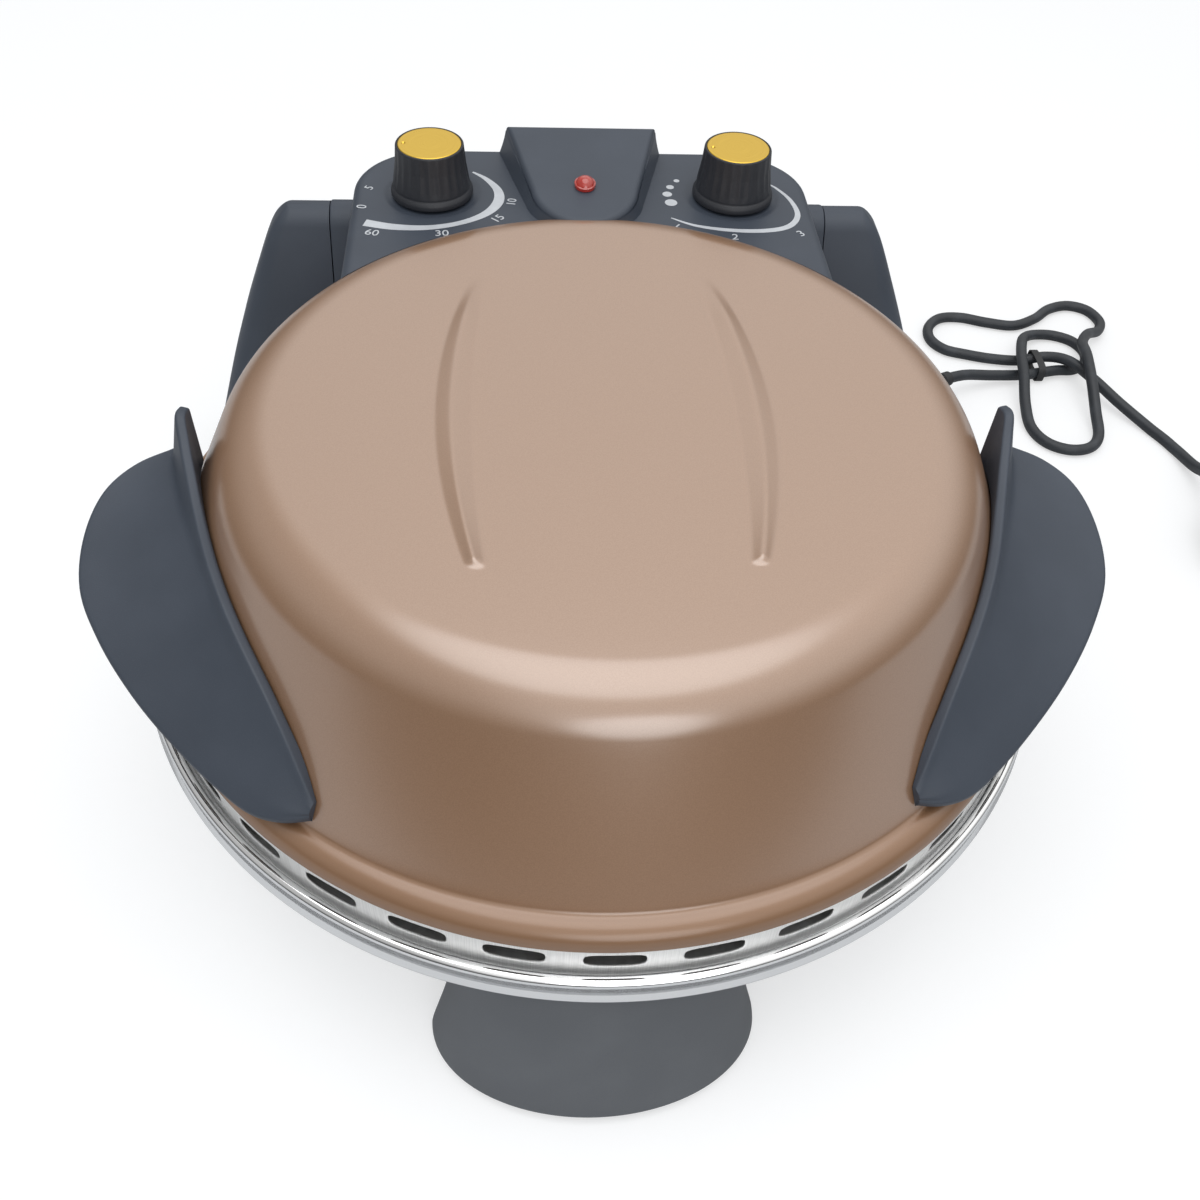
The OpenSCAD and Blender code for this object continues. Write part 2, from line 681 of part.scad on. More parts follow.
module gold_disc(way) {
    dimple_r = 0.8;
    color("#d9b03a") translate([way * knob_x, knob_y, panel_z + seat + knob_h - disc_t]) difference() {
        cylinder(d = disc_d, h = disc_t);
        translate([-disc_d / 2 + 2.6, 0, disc_t / 2]) cylinder(r = dimple_r, h = disc_t, $fn = 24);
    }
}

control_low = 20;
control_d = 29;
module shaft(way) {
    low_z = panel_z - console_t - control_low / 2;
    color("#b9bcc0") translate([way * knob_x, knob_y, low_z])
        cylinder(d = shaft_d, h = panel_z + knob_h - knob_roof_t - low_z);
}

// Switch body under the panel: a can, a mounting foot and its terminal tags
module control_body(way, tags) {
    foot = [40, 12, 1.5];
    tag = [1, 5, 7];
    tag_pitch = 8;
    color("#d8d8d2") translate([way * knob_x, knob_y, panel_z - console_t]) difference() {
        union() {
            translate([0, 0, -control_low]) cylinder(d = control_d, h = control_low);
            translate([-foot[0] / 2, -foot[1] / 2, -foot[2]]) cube(foot);
            for (i = [0:tags - 1]) translate([(i - 1) * tag_pitch, 3, -control_low - tag[2] + past]) cube(tag);
        }
        translate([0, 0, -control_low / 2 - past]) cylinder(d = shaft_d + 2 * running, h = control_low);
    }
}

// Lamp, square to the pod's sloping top: a collar and two faceted steps over a stem
lamp_stem_d = lamp_d - 2.6;
module at_lamp() {
    translate([0, lamp_y, pod_top(lamp_y)]) rotate([atan(pod_slope), 0, 0]) children();
}

module lamp_lens() {
    stem_l = 6.5;
    collar_h = 1.5;
    facet_h = 1.4;
    tip_h = 1;
    facet_d = 0.72 * lamp_d;
    color("#c8281e") at_lamp() translate([0, 0, seat]) {
        cylinder(d = lamp_d, h = collar_h);
        translate([0, 0, collar_h]) cylinder(d1 = lamp_d - 0.6, d2 = facet_d, h = facet_h, $fn = 10);
        translate([0, 0, collar_h + facet_h]) cylinder(d1 = facet_d, d2 = 0.3 * lamp_d, h = tip_h, $fn = 10);
        translate([0, 0, -stem_l]) cylinder(d = lamp_stem_d, h = stem_l);
    }
}

module lamp_holder() {
    holder_h = 7;
    bore_h = 4.5;
    color("#c9c9c4") at_lamp() translate([0, 0, -console_t - seat - holder_h]) difference() {
        cylinder(d = lamp_d + 3, h = holder_h);
        translate([0, 0, holder_h - bore_h]) cylinder(d = lamp_stem_d + 4 * running, h = bore_h + past);
    }
}

module hinge_pin(right) {
    color("#b9bcc0") mirrored(right) translate([leg_in + pin_l / 2 - seat, hinge_y, hinge_z])
        rotate([0, -90, 0]) cylinder(d = pin_d, h = pin_l);
}

// Outer half section of the bowl, moved outwards by off
function bowl_line(off) = concat(
    [[bowl_r + off, rim_z - 1], [bowl_r + off, rim_z - band_h - off]],
    [for (p = bowl_taper) [bowl_r - p[0] + off * 0.7, rim_z - p[1] - off * 0.7]]);

module bowl_space() {
    line = bowl_line(seat);
    last = line[len(line) - 1];
    rotate_extrude() polygon(concat([[0, lid_top + past], [bowl_r + 3 * seat, lid_top + past],
        [bowl_r + 3 * seat, rim_z - 2]], line, [[0, last[1]]]));
}

module leg(right) {
    bore_l = pin_l / 2 + seat;
    color("#2d3035") mirrored(right) difference() {
        intersection() {
            translate([leg_foot_in, 0, 0]) barrel(barrel_d / 2, [leg_front_y - hinge_y, pad_h - hinge_z],
                [base_reach - hinge_y, pad_h - hinge_z], leg_reach - leg_foot_in);
            translate([0, base_reach + past, 0]) rotate([90, 0, 0]) linear_extrude(base_reach)
                polygon(concat([[leg_foot_in, pad_h], [leg_foot_in, leg_neck_z[0]],
                    [leg_in, leg_neck_z[1]], [leg_in, hinge_top]], smooth(leg_edge, 3)));
            linear_extrude(hinge_top + past)
                polygon([for (p = rounded(leg_foot_in, leg_reach, leg_front_y, base_reach, leg_corner, 0))
                    [p[0], p[1]]]);
        }
        bowl_space();
        translate([leg_in - past, hinge_y, hinge_z]) rotate([0, 90, 0])
            cylinder(d = pin_d + 2 * running, h = bore_l + past);
        if (right) translate(gland_at) rotate([0, 0, gland_a]) rotate([0, 90, 0])
            cylinder(d = gland_root_d + 2 * running, h = gland_root_l + gland_l);
    }
}

// Foot section: a bow across the front and a straight back
function foot_ring(row) = let (w = row[1], front = row[2], back = row[3],
        corner_y = back + 0.48 * (front - back))
    concat([[foot_x + 0.8 * w, -back, row[0]], [foot_x - 0.8 * w, -back, row[0]]],
        [for (k = [0:foot_steps]) let (a = 180 * k / foot_steps)
            [foot_x - w * cos(a), -corner_y - (front - corner_y) * sin(a), row[0]]]);

module front_foot() {
    color("#2d3035") difference() {
        loft([for (row = smooth(foot_rows, 2)) foot_ring(row)]);
        bowl_space();
    }
}

module foot_pads() {
    color("#1a1a1c") for (way = [-1, 1]) {
        translate([foot_x + way * foot_pad_at[0], -foot_pad_at[1], 0]) cylinder(d = pad_d, h = pad_h);
        for (p = leg_pads_at) translate([way * p[0], p[1], 0]) cylinder(d = pad_d, h = pad_h);
    }
}

bottom_screw_count = 4;
bottom_screw_d = 4;
cover_flange_w = 10;
module at_bottom_screws() {
    for (i = [0:bottom_screw_count - 1]) rotate([0, 0, 45 + i * 360 / bottom_screw_count])
        translate([cover_d / 2 - cover_flange_w / 2, 0, bowl_floor_z]) children();
}

module bottom_cover() {
    low = bowl_floor_z - cover_h;
    wall_r = cover_d / 2 - cover_flange_w;
    line = [[0, low], [wall_r, low], [wall_r, bowl_floor_z - tray_t], [cover_d / 2, bowl_floor_z - tray_t]];
    vent_l = 40;
    vent_w = 3;
    color("#b4b6b8") difference() {
        rotate_extrude() polygon(sheet(line, tray_t));
        for (i = [-3:3]) translate([-vent_l / 2, 10 * i - vent_w / 2, low - past])
            cube([vent_l, vent_w, 3 * tray_t]);
        at_bottom_screws() cylinder(d = bottom_screw_d + 2 * running, h = 6, center = true);
    }
}

module bottom_screws() {
    color("#8f9295") at_bottom_screws() {
        translate([0, 0, -tray_t - screw_head_h]) cylinder(d = screw_head_d, h = screw_head_h);
        translate([0, 0, -tray_t]) cylinder(d = bottom_screw_d, h = tray_t + bowl_t + 2);
    }
}

module chrome_bowl() {
    line = bowl_line(0);
    floor_line = concat(line, [[cover_d / 2, bowl_floor_z], [0, bowl_floor_z]]);
    color("#c9ccd0") difference() {
        union() {
            rotate_extrude() polygon(sheet(floor_line, -bowl_t));
            rotate_extrude() translate([rim_c, rim_z - 0.4]) circle(r = rim_r);
        }
        at_bottom_screws() cylinder(d = bottom_screw_d + 2 * running, h = 8 * bowl_t, center = true);
        translate([0, lower_loop_r, bowl_floor_z]) cylinder(r = element_gap, h = 8 * bowl_t, center = true);
    }
}

module inner_tray() {
    rim_in = rim_c - rim_r - seat;
    line = [[rim_in, tray_flange_z], [tray_step_r, tray_flange_z], [tray_step_r, stone_z - seat],
        [tray_ledge_r, stone_z - seat], [tray_floor_r + 10, tray_floor_z + 5],
        [tray_floor_r, tray_floor_z + tray_t], [0, tray_floor_z + tray_t]];
    color("#bfc1c3") difference() {
        union() {
            rotate_extrude() polygon(sheet(line, tray_t));
            for (i = [0:post_count - 1]) rotate([0, 0, 30 + i * 360 / post_count])
                translate([post_ring_r, 0, bowl_floor_z + bowl_t])
                    cylinder(r = post_r, h = tray_floor_z + tray_t / 2 - bowl_floor_z - bowl_t);
        }
        for (x = [-1, 1]) translate([x * element_gap / 2, lower_loop_r, tray_floor_z])
            cylinder(r = element_r + seat, h = 6 * tray_t, center = true);
    }
}

module baking_stone() {
    chamfer = 1.2;
    color("#cbb79a") rotate_extrude() polygon([[0, stone_z], [stone_d / 2 - chamfer, stone_z],
        [stone_d / 2, stone_z + chamfer], [stone_d / 2, stone_z + stone_h - chamfer],
        [stone_d / 2 - chamfer, stone_z + stone_h], [0, stone_z + stone_h]]);
}

module lower_element() {
    color("#55585c") heating_loop(lower_loop_r, lower_element_z, -1);
}

module lower_element_clips() {
    color("#b9bcc0") loop_clips(lower_loop_r, lower_element_z, tray_floor_z + tray_t);
}

// Strain relief: a plug in the leg, a collar and a ribbed taper down to the cord
module cord_gland() {
    collar_l = 3;
    rib_count = 6;
    rib_pitch = (gland_l - 6) / rib_count;
    tip_r = cord_d / 2 + 1;
    function taper_r(x) = gland_root_d / 2 + (tip_r - gland_root_d / 2) * x / gland_l;
    color("#1c1d1f") translate(gland_at) rotate([0, 0, gland_a]) rotate([0, 90, 0]) difference() {
        union() {
            translate([0, 0, past]) cylinder(d = gland_root_d, h = gland_root_l);
            translate([0, 0, gland_root_l - collar_l]) cylinder(r = gland_root_d / 2, h = collar_l + past);
            translate([0, 0, gland_root_l]) cylinder(r1 = gland_root_d / 2, r2 = tip_r, h = gland_l);
        }
        for (i = [0:rib_count - 1]) translate([0, 0, gland_root_l + 4 + i * rib_pitch]) difference() {
            cylinder(r = gland_root_d, h = rib_pitch / 2);
            translate([0, 0, -past]) cylinder(r = taper_r(4 + i * rib_pitch) - 1.2, h = rib_pitch);
        }
    }
}

// Tube of the cord along a route: rings square to the path, kept upright
function path_way(path, i) = let (last = len(path) - 1, d = path[min(i + 1, last)] - path[max(i - 1, 0)])
    d / norm(d);
function tube_ring(at, way, r, sides) =
    let (across = cross(way, [0, 0, 1]), u = across / norm(across), v = cross(u, way))
    [for (k = [0:sides - 1]) let (a = 360 * (k + 0.5) / sides) at + r * (cos(a) * u + sin(a) * v)];
module tube(route, r, steps, from, to) {
    path = smooth(route, steps);
    last = len(path) - 1;
    ways = [for (i = [0:last]) i == 0 ? from / norm(from) : i == last ? to / norm(to) : path_way(path, i)];
    loft(flipped([for (i = [0:last]) tube_ring(path[i], ways[i], r, cord_sides)]));
}

// Least gap of the bundle to itself, on four points a stretch, between points well apart on the path
bundle_points = [for (i = [0:len(bundle_route) - 2], k = [0:3])
    bundle_route[i] + (bundle_route[i + 1] - bundle_route[i]) * k / 4];
bend_points = 10;
echo(least_gap_of_the_cord_bundle = min([
    for (i = [0:len(bundle_points) - 1 - bend_points], j = [i + bend_points:len(bundle_points) - 1])
        norm(bundle_points[i] - bundle_points[j]) - cord_d]));

module cord_lead() {
    color("#17181a") tube(lead_route, cord_d / 2, free_steps, gland_way, into_bundle);
}

module cord_bundle() {
    color("#17181a") tube(bundle_route, cord_d / 2, 1, into_bundle, into_tail);
}

module cord_tail() {
    color("#17181a") tube(tail_route, cord_d / 2, free_steps, into_tail, [0, -1, 0]);
}

module cord_tie() {
    color("#101113") translate(tie_at) rotate([90, 0, 90]) linear_extrude(tie_l, center = true) difference() {
        square([tie_w + 2 * tie_t, tie_h + 2 * tie_t], center = true);
        square([tie_w, tie_h], center = true);
    }
}

module plug_body() {
    r = plug_d / 2;
    color("#1b1c1e") translate(plug_at) rotate([90, 0, 0]) difference() {
        union() {
            cylinder(r1 = cord_d / 2 + 1.4, r2 = 9, h = plug_neck_l);
            translate([0, 0, plug_neck_l]) cylinder(r1 = 11, r2 = r - 1, h = plug_l / 2);
            translate([0, 0, plug_neck_l + plug_l / 2]) cylinder(r = r - 1, h = plug_l / 2);
        }
        for (x = [-1, 1]) translate([x * plug_pitch / 2, 0, plug_neck_l + plug_l - 8])
            cylinder(d = plug_pin_d + 2 * running, h = 8 + past);
    }
}

module plug_pins() {
    color("#c9ccd0") translate(plug_at) rotate([90, 0, 0])
        for (x = [-1, 1]) translate([x * plug_pitch / 2, 0, plug_neck_l + plug_l - 8 + seat])
            cylinder(d = plug_pin_d, h = plug_pin_l + 8 - seat);
}

lid_shell();
reflector_dome();
upper_element();
upper_element_clips();
ear_handle(false);  // ear_handle_left
ear_handle(true);  // ear_handle_right
handle_screws();
console_housing();
console_cover();
console_screws();
knob(-1);  // timer_knob
gold_disc(-1);  // timer_disc
shaft(-1);  // timer_shaft
control_body(-1, 2);  // timer_body
knob(1);  // thermostat_knob
gold_disc(1);  // thermostat_disc
shaft(1);  // thermostat_shaft
control_body(1, 3);  // thermostat_body
lamp_lens();
lamp_holder();
hinge_pin(false);  // hinge_pin_left
hinge_pin(true);  // hinge_pin_right
leg(false);  // leg_left
leg(true);  // leg_right
front_foot();
foot_pads();
bottom_cover();
bottom_screws();
chrome_bowl();
inner_tray();
baking_stone();
lower_element();
lower_element_clips();
cord_gland();
cord_lead();
cord_bundle();
cord_tail();
cord_tie();
plug_body();
plug_pins();
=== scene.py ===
import json
import math
import bmesh
import bpy
import numpy as np
from mathutils import Matrix, Vector


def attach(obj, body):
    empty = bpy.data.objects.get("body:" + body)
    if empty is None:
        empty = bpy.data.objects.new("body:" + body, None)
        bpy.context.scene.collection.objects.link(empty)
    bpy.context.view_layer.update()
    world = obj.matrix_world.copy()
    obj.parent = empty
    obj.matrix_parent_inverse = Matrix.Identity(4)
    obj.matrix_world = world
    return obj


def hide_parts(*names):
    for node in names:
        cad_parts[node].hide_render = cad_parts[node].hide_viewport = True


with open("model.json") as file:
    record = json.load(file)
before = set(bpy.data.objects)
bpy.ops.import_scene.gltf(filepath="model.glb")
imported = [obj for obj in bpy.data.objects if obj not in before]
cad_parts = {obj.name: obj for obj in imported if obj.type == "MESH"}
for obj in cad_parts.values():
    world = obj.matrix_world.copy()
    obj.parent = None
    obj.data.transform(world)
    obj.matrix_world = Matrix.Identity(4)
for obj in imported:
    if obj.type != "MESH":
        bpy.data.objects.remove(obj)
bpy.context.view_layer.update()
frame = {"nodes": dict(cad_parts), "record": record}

nodes = frame["nodes"]
mm = 0.001
sides = ((-1, "left"), (1, "right"))
print("frame loaded,", len(nodes), "CAD nodes")


# Shapes, in millimetres

# Curve through a list of rows: cubic pieces that pass through each row, steps points to a piece
def smoothRows(rows, steps):
    p = np.asarray(rows, float)
    last = len(p) - 1
    i = np.arange(last)
    a, b, c, d = (p[j][:, None, :] for j in (np.maximum(i - 1, 0), i, i + 1, np.minimum(i + 2, last)))
    t = (np.arange(steps) / steps)[None, :, None]
    q = 0.5 * (2 * b + (c - a) * t + (2 * a - 5 * b + 4 * c - d) * t**2 + (3 * b - a - 3 * c + d) * t**3)
    return np.vstack([q.reshape(-1, p.shape[1]), p[-1:]])


# Each corner p of a closed outline becomes the curve (1-t)^2 a + 2t(1-t) p + t^2 b,
# where a and b lie on its two sides, cut away from p
def roundCorners(outline, cut, steps):
    p = np.asarray(outline, float)
    cut = np.broadcast_to(np.asarray(cut, float)[..., None], p.shape[:-1] + (1,))
    ends = []
    for way in (1, -1):
        side = np.roll(p, way, axis=-2) - p
        length = np.maximum(np.linalg.norm(side, axis=-1, keepdims=True), 1e-9)
        ends.append((p + side / length * np.minimum(cut, 0.48 * length))[..., None, :])
    t = np.linspace(0, 1, steps)[:, None]
    q = (1 - t)**2 * ends[0] + 2 * t * (1 - t) * p[..., None, :] + t**2 * ends[1]
    return q.reshape(p.shape[:-2] + (-1, p.shape[-1]))


# Line whose inner corners are rounded, its two ends kept
def smoothProfile(points, cut, steps):
    p = np.array(points, float)
    return np.vstack([p[:1], roundCorners(p, cut, steps)[steps:-steps], p[-1:]])


# Smooth step from 0 to 1 as x goes from low to high: 3k^2 - 2k^3
def ease(x, low, high):
    k = np.clip((x - low) / (high - low), 0, 1)
    return k * k * (3 - 2 * k)


# Revolved profile: each point (r, z) turns round the upright axis through the centre
def revolve(profile, columns, centre=(0, 0), turn=0.0):
    profile = np.asarray(profile, float)
    a = np.arange(columns) * 2 * math.pi / columns + turn
    r, z = profile[:, 0][:, None], profile[:, 1][:, None]
    return np.stack([centre[0] + r * np.cos(a), centre[1] + r * np.sin(a), z + 0 * a], -1)


# Arc from angle a0 to a1, in degrees: centre + r (cos a, sin a)
def arc(centre, r, a0, a1, steps):
    a = np.radians(np.linspace(a0, a1, steps))
    return np.stack([centre[0] + r * np.cos(a), centre[1] + r * np.sin(a)], -1)


# Steps of a rolled edge of radius r, from the wall to its top: (depth under the top, way inwards)
def rollSteps(r):
    return [(r * (1 - math.sin(k)), r * (1 - math.cos(k))) for k in np.radians(np.linspace(0, 90, 9))]


# Unit vectors along a line, each from the mean of its neighbours
def directions(line):
    along = np.gradient(line, axis=0)
    return along / np.linalg.norm(along, axis=1, keepdims=True)


# Line moved sideways by t, to its right
def offsetLine(line, t):
    along = directions(line)
    return line + t * np.stack([along[:, 1], -along[:, 0]], -1)


def withHeight(plan, z):
    return np.column_stack([plan, np.full(len(plan), z)])


# Meshes and pieces

def addObject(name, data):
    thing = bpy.data.objects.new(name, data)
    bpy.context.scene.collection.objects.link(thing)
    return thing


# Mesh from a grid of points, rows by columns: the columns close round unless told otherwise,
# the rows can close too, and row 0 or row -1 can be capped
def rawMesh(name, grid, rows=False, columns=True, caps=()):
    high, wide = grid.shape[:2]
    index = np.arange(high * wide).reshape(high, wide)
    if rows:
        index = np.vstack([index, index[:1]])
    if columns:
        index = np.hstack([index, index[:, :1]])
    quads = np.stack([index[:-1, :-1], index[:-1, 1:], index[1:, 1:], index[1:, :-1]], -1)
    ends = [index[row, :wide][::1 if row else -1].tolist() for row in caps]
    mesh = bpy.data.meshes.new(name)
    mesh.from_pydata((grid.reshape(-1, 3) * mm).tolist(), [], quads.reshape(-1, 4).tolist() + ends)
    mesh.update()
    return mesh


# Faces are smooth, and edges sharper than the angle stay sharp
def shade(mesh, sharp=40):
    mesh.polygons.foreach_set("use_smooth", np.ones(len(mesh.polygons), bool))
    mesh.set_sharp_from_angle(angle=math.radians(sharp))
    mesh.update()
    return mesh


# Doubles are merged and normals turned outwards
def finishMesh(mesh, sharp=40, outward=True):
    work = bmesh.new()
    work.from_mesh(mesh)
    bmesh.ops.remove_doubles(work, verts=work.verts, dist=2e-6)
    bmesh.ops.dissolve_degenerate(work, edges=work.edges, dist=1e-6)
    if outward:
        bmesh.ops.recalc_face_normals(work, faces=work.faces)
    work.to_mesh(mesh)
    work.free()
    return shade(mesh, sharp)


def gridMesh(name, grid, sharp=40, outward=True, **closing):
    return finishMesh(rawMesh(name, grid, **closing), sharp, outward)


def joinMeshes(name, parts):
    work = bmesh.new()
    for part in parts:
        work.from_mesh(part)
    mesh = bpy.data.meshes.new(name)
    work.to_mesh(mesh)
    work.free()
    return mesh


# Object of one mesh or a list of them, riding on a body, standing for CAD nodes and finished as its slot
def placePiece(name, mesh, body, stands=(), slot=None, finish=None, bevel=0):
    if isinstance(mesh, list):
        mesh = shade(joinMeshes(name, mesh))
    piece = addObject(name, mesh)
    if bevel:
        edge = piece.modifiers.new("edge", "BEVEL")
        edge.width = bevel * mm
        edge.segments = 2
        edge.limit_method = "ANGLE"
        edge.angle_limit = math.radians(40)
    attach(piece, body)
    if stands:
        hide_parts(*stands)
    mesh.materials.append(finish or finishes[slot])
    return piece


# Piece of one grid
def gridPiece(name, grid, body, stands, slot, sharp=40, finish=None, bevel=0, **closing):
    return placePiece(name, gridMesh(name, grid, sharp, **closing), body, stands, slot, finish, bevel)


# Shader maths

# A socket of a tree's node; an expression on it adds its Math nodes
class Value:
    def __init__(self, tree, socket):
        self.tree = tree
        self.socket = socket

    def join(self, kind, *others):
        numbered = {f"i{k}": other for k, other in enumerate(others)}
        return self.tree.add("Math", {"operation": kind}, **numbered)


for word, kind in dict(add="ADD", sub="SUBTRACT", mul="MULTIPLY", truediv="DIVIDE", pow="POWER").items():
    setattr(Value, f"__{word}__", lambda self, other, kind=kind: self.join(kind, self, other))
    setattr(Value, f"__r{word}__", lambda self, other, kind=kind: self.join(kind, other, self))


# A tree of nodes: one method adds any node, with its settings first and then its sockets,
# named with _ for a space, or i and a number
class Tree:
    def __init__(self, data):
        self.data = data

    def add(self, kind, settings=None, out=0, **sockets):
        node = self.data.nodes.new("ShaderNode" + kind)
        for key, value in (settings or {}).items():
            if key == "stops":
                stops = node.color_ramp.elements
                while len(stops) < len(value):
                    stops.new(0.5)
                for stop, (at, colour) in zip(stops, value):
                    stop.position = at
                    stop.color = (*colour, 1)
            else:
                setattr(node, key, value)
        self.plug(node, sockets)
        return Value(self, node.outputs[out]) if node.outputs else None

    def plug(self, node, sockets):
        for name, value in sockets.items():
            socket = node.inputs[int(name[1:]) if name[1:].isdigit() else name.replace("_", " ")]
            if isinstance(value, Value):
                self.data.links.new(value.socket, socket)
            else:
                socket.default_value = value

    # From first to last while the value goes from low to high, held beyond
    def spread(self, value, low, high, first, last, kind="LINEAR"):
        return self.add("MapRange", {"interpolation_type": kind}, Value=value,
                        From_Min=low, From_Max=high, To_Min=first, To_Max=last)

    def mirrors(self):
        glossy = self.add("LightPath", out="Is Glossy Ray")
        return glossy.join("MAXIMUM", glossy, self.add("LightPath", out="Is Transmission Ray"))


# A material with its shader, its constants given first, and the patterns that feed it
class Finish(Tree):
    def __init__(self, name, **constants):
        self.material = bpy.data.materials.new(name)
        self.material.use_nodes = True
        super().__init__(self.material.node_tree)
        self.shader = self.data.nodes["Principled BSDF"]
        self.feed(**constants)
        self.place = self.add("TexCoord", out="Object")

    def feed(self, **sockets):
        self.plug(self.shader, sockets)
        return self.material

    # Noise of a size in millimetres, from 0 to 1, about 0.5
    def noise(self, size, detail=2.0, rough=0.5, at=None):
        return self.add("TexNoise", out="Fac", Vector=at or self.place, Scale=1000.0 / size,
                        Detail=detail, Roughness=rough)

    # Noise over places that are worked out one by one
    def strokes(self, x, y, z, detail=2.0, rough=0.5):
        return self.noise(1000.0, detail, rough, self.add("CombineXYZ", X=x, Y=y, Z=z))

    # Angle round the upright axis through x and y, radius and height, in radians and metres
    def roundAxis(self, x=0.0, y=0.0):
        at = self.add("VectorMath", {"operation": "SUBTRACT"}, i0=self.place, i1=(x, y, 0.0))
        px, py, pz = (self.add("SeparateXYZ", out=k, Vector=at) for k in range(3))
        return px.join("ARCTAN2", px, py), (px * px + py * py)**0.5, pz

    # Smooth share of the way from low to high
    def between(self, value, low, high):
        return self.spread(value, low, high, 0.0, 1.0, "SMOOTHSTEP")

    def mix(self, share, a, b):
        colour = lambda c: c if isinstance(c, Value) else (*c, 1)
        return self.add("Mix", {"data_type": "RGBA"}, out=2, i0=share, i6=colour(a), i7=colour(b))

    # Colour, roughness and the relief of a bump, whose depth is in millimetres
    def cover(self, tone, rough, relief, depth, **others):
        bump = self.add("Bump", Height=relief, Distance=depth * mm, Strength=1.0)
        return self.feed(Base_Color=tone, Roughness=rough, Normal=bump, **others)


# Camera and stage

cameraPose = dict(place=(-0.0320, -0.3293, 0.4193), towards=(0.0709, 0.6671, -0.7415),
                  right=(0.9944, -0.1057, 0.0), roll=3.77, lens=36.0, sensor=36.0)


def makeCamera(pose):
    towards = Vector(pose["towards"]).normalized()
    right = Vector(pose["right"])
    right = (right - towards * right.dot(towards)).normalized()
    up = right.cross(towards)
    turn = math.radians(pose["roll"])
    across = math.cos(turn) * right + math.sin(turn) * up
    upright = -math.sin(turn) * right + math.cos(turn) * up
    data = bpy.data.cameras.new("camera")
    data.lens = pose["lens"]
    data.sensor_width = pose["sensor"]
    data.clip_start = 0.01
    camera = addObject("camera", data)
    axes = Matrix((across, upright, -towards)).transposed().to_4x4()
    camera.matrix_world = Matrix.Translation(pose["place"]) @ axes
    bpy.context.scene.camera = camera
    bpy.context.scene.view_settings.view_transform = "Standard"


makeCamera(cameraPose)

studio = dict(
    sky=(0.96, 0.98, 1.0), low=0.15, high=0.82, leftLift=0.45, leftDim=0.45,
    gloss=[(0.0, 0.07), (0.46, 0.07), (0.56, 0.30), (0.76, 1.12), (1.0, 1.12)],  # height, grey
    floor=(0.50, 0.505, 0.51), floorFront=-0.46, floorHalf=1.1, floorSeen=0.54, floorMirrored=0.12,
    lamps=[  # name, place, aim, size, watts
        ("overhead", (0.05, -0.05, 1.30), (0.0, 0.0, 0.1), 1.35, 6.0),
        ("frontFill", (0.2, -1.5, 0.6), (0, 0, 0.05), 0.9, 4.0)])


# The world is white to the camera, to mirrors a ramp over the ray's height that is dimmer on the left,
# and to the rest a gradient over the height that is lifted on the left
def makeWorld(s):
    world = bpy.data.worlds.new("studio")
    bpy.context.scene.world = world
    world.use_nodes = True
    world.node_tree.nodes.clear()
    t = Tree(world.node_tree)
    ray = t.add("TexCoord", out="Generated")
    x, z = (t.add("SeparateXYZ", out=k, Vector=ray) for k in (0, 2))
    level = t.spread(z, 0.0, 1.0, s["low"], s["high"]) + t.spread(x, -1.0, 0.2, s["leftLift"], 0.0)
    sky = t.add("Background", Color=(*s["sky"], 1), Strength=level)
    warm = [(at, (grey, grey * 0.99, grey * 0.97)) for at, grey in s["gloss"]]
    ramp = t.add("ValToRGB", {"stops": warm}, Fac=t.spread(z, -1.0, 1.0, 0.0, 1.0))
    mirrored = t.add("Background", Color=ramp, Strength=t.spread(x, -0.5, -0.2, s["leftDim"], 1.0))
    white = t.add("Background", Color=(1, 1, 1, 1))
    unseen = t.add("MixShader", i0=t.mirrors(), i1=sky, i2=mirrored)
    seen = t.add("LightPath", out="Is Camera Ray")
    t.add("OutputWorld", i0=t.add("MixShader", i0=seen, i1=unseen, i2=white))


def makeLamps(s):
    for name, place, aim, size, watts in s["lamps"]:
        data = bpy.data.lights.new(name, "AREA")
        data.shape = "DISK"
        data.size = size
        data.energy = watts
        lamp = addObject(name, data)
        lamp.location = place
        lamp.rotation_euler = (Vector(aim) - Vector(place)).to_track_quat("-Z", "Y").to_euler()


# Pale floor that keeps the shadow: the camera sees it lifted to the background's white, and mirrors a little
def makeFloor(s):
    half, front = s["floorHalf"], s["floorFront"]
    mesh = bpy.data.meshes.new("floor")
    corners = [(-half, front, 0), (half, front, 0), (half, half, 0), (-half, half, 0)]
    mesh.from_pydata(corners, [], [(0, 1, 2, 3)])
    floor = addObject("floor", mesh)
    f = Finish("paleFloor", Roughness=0.9, Emission_Strength=1.0, Specular_IOR_Level=0.1)
    lift = f.add("LightPath", out="Is Camera Ray") * s["floorSeen"] + f.mirrors() * s["floorMirrored"]
    f.feed(Base_Color=(*s["floor"], 1), Emission_Color=f.add("CombineColor", i0=lift, i1=lift, i2=lift))
    mesh.materials.append(f.material)


makeWorld(studio)
makeLamps(studio)
makeFloor(studio)
print("camera and studio made")


# Finishes

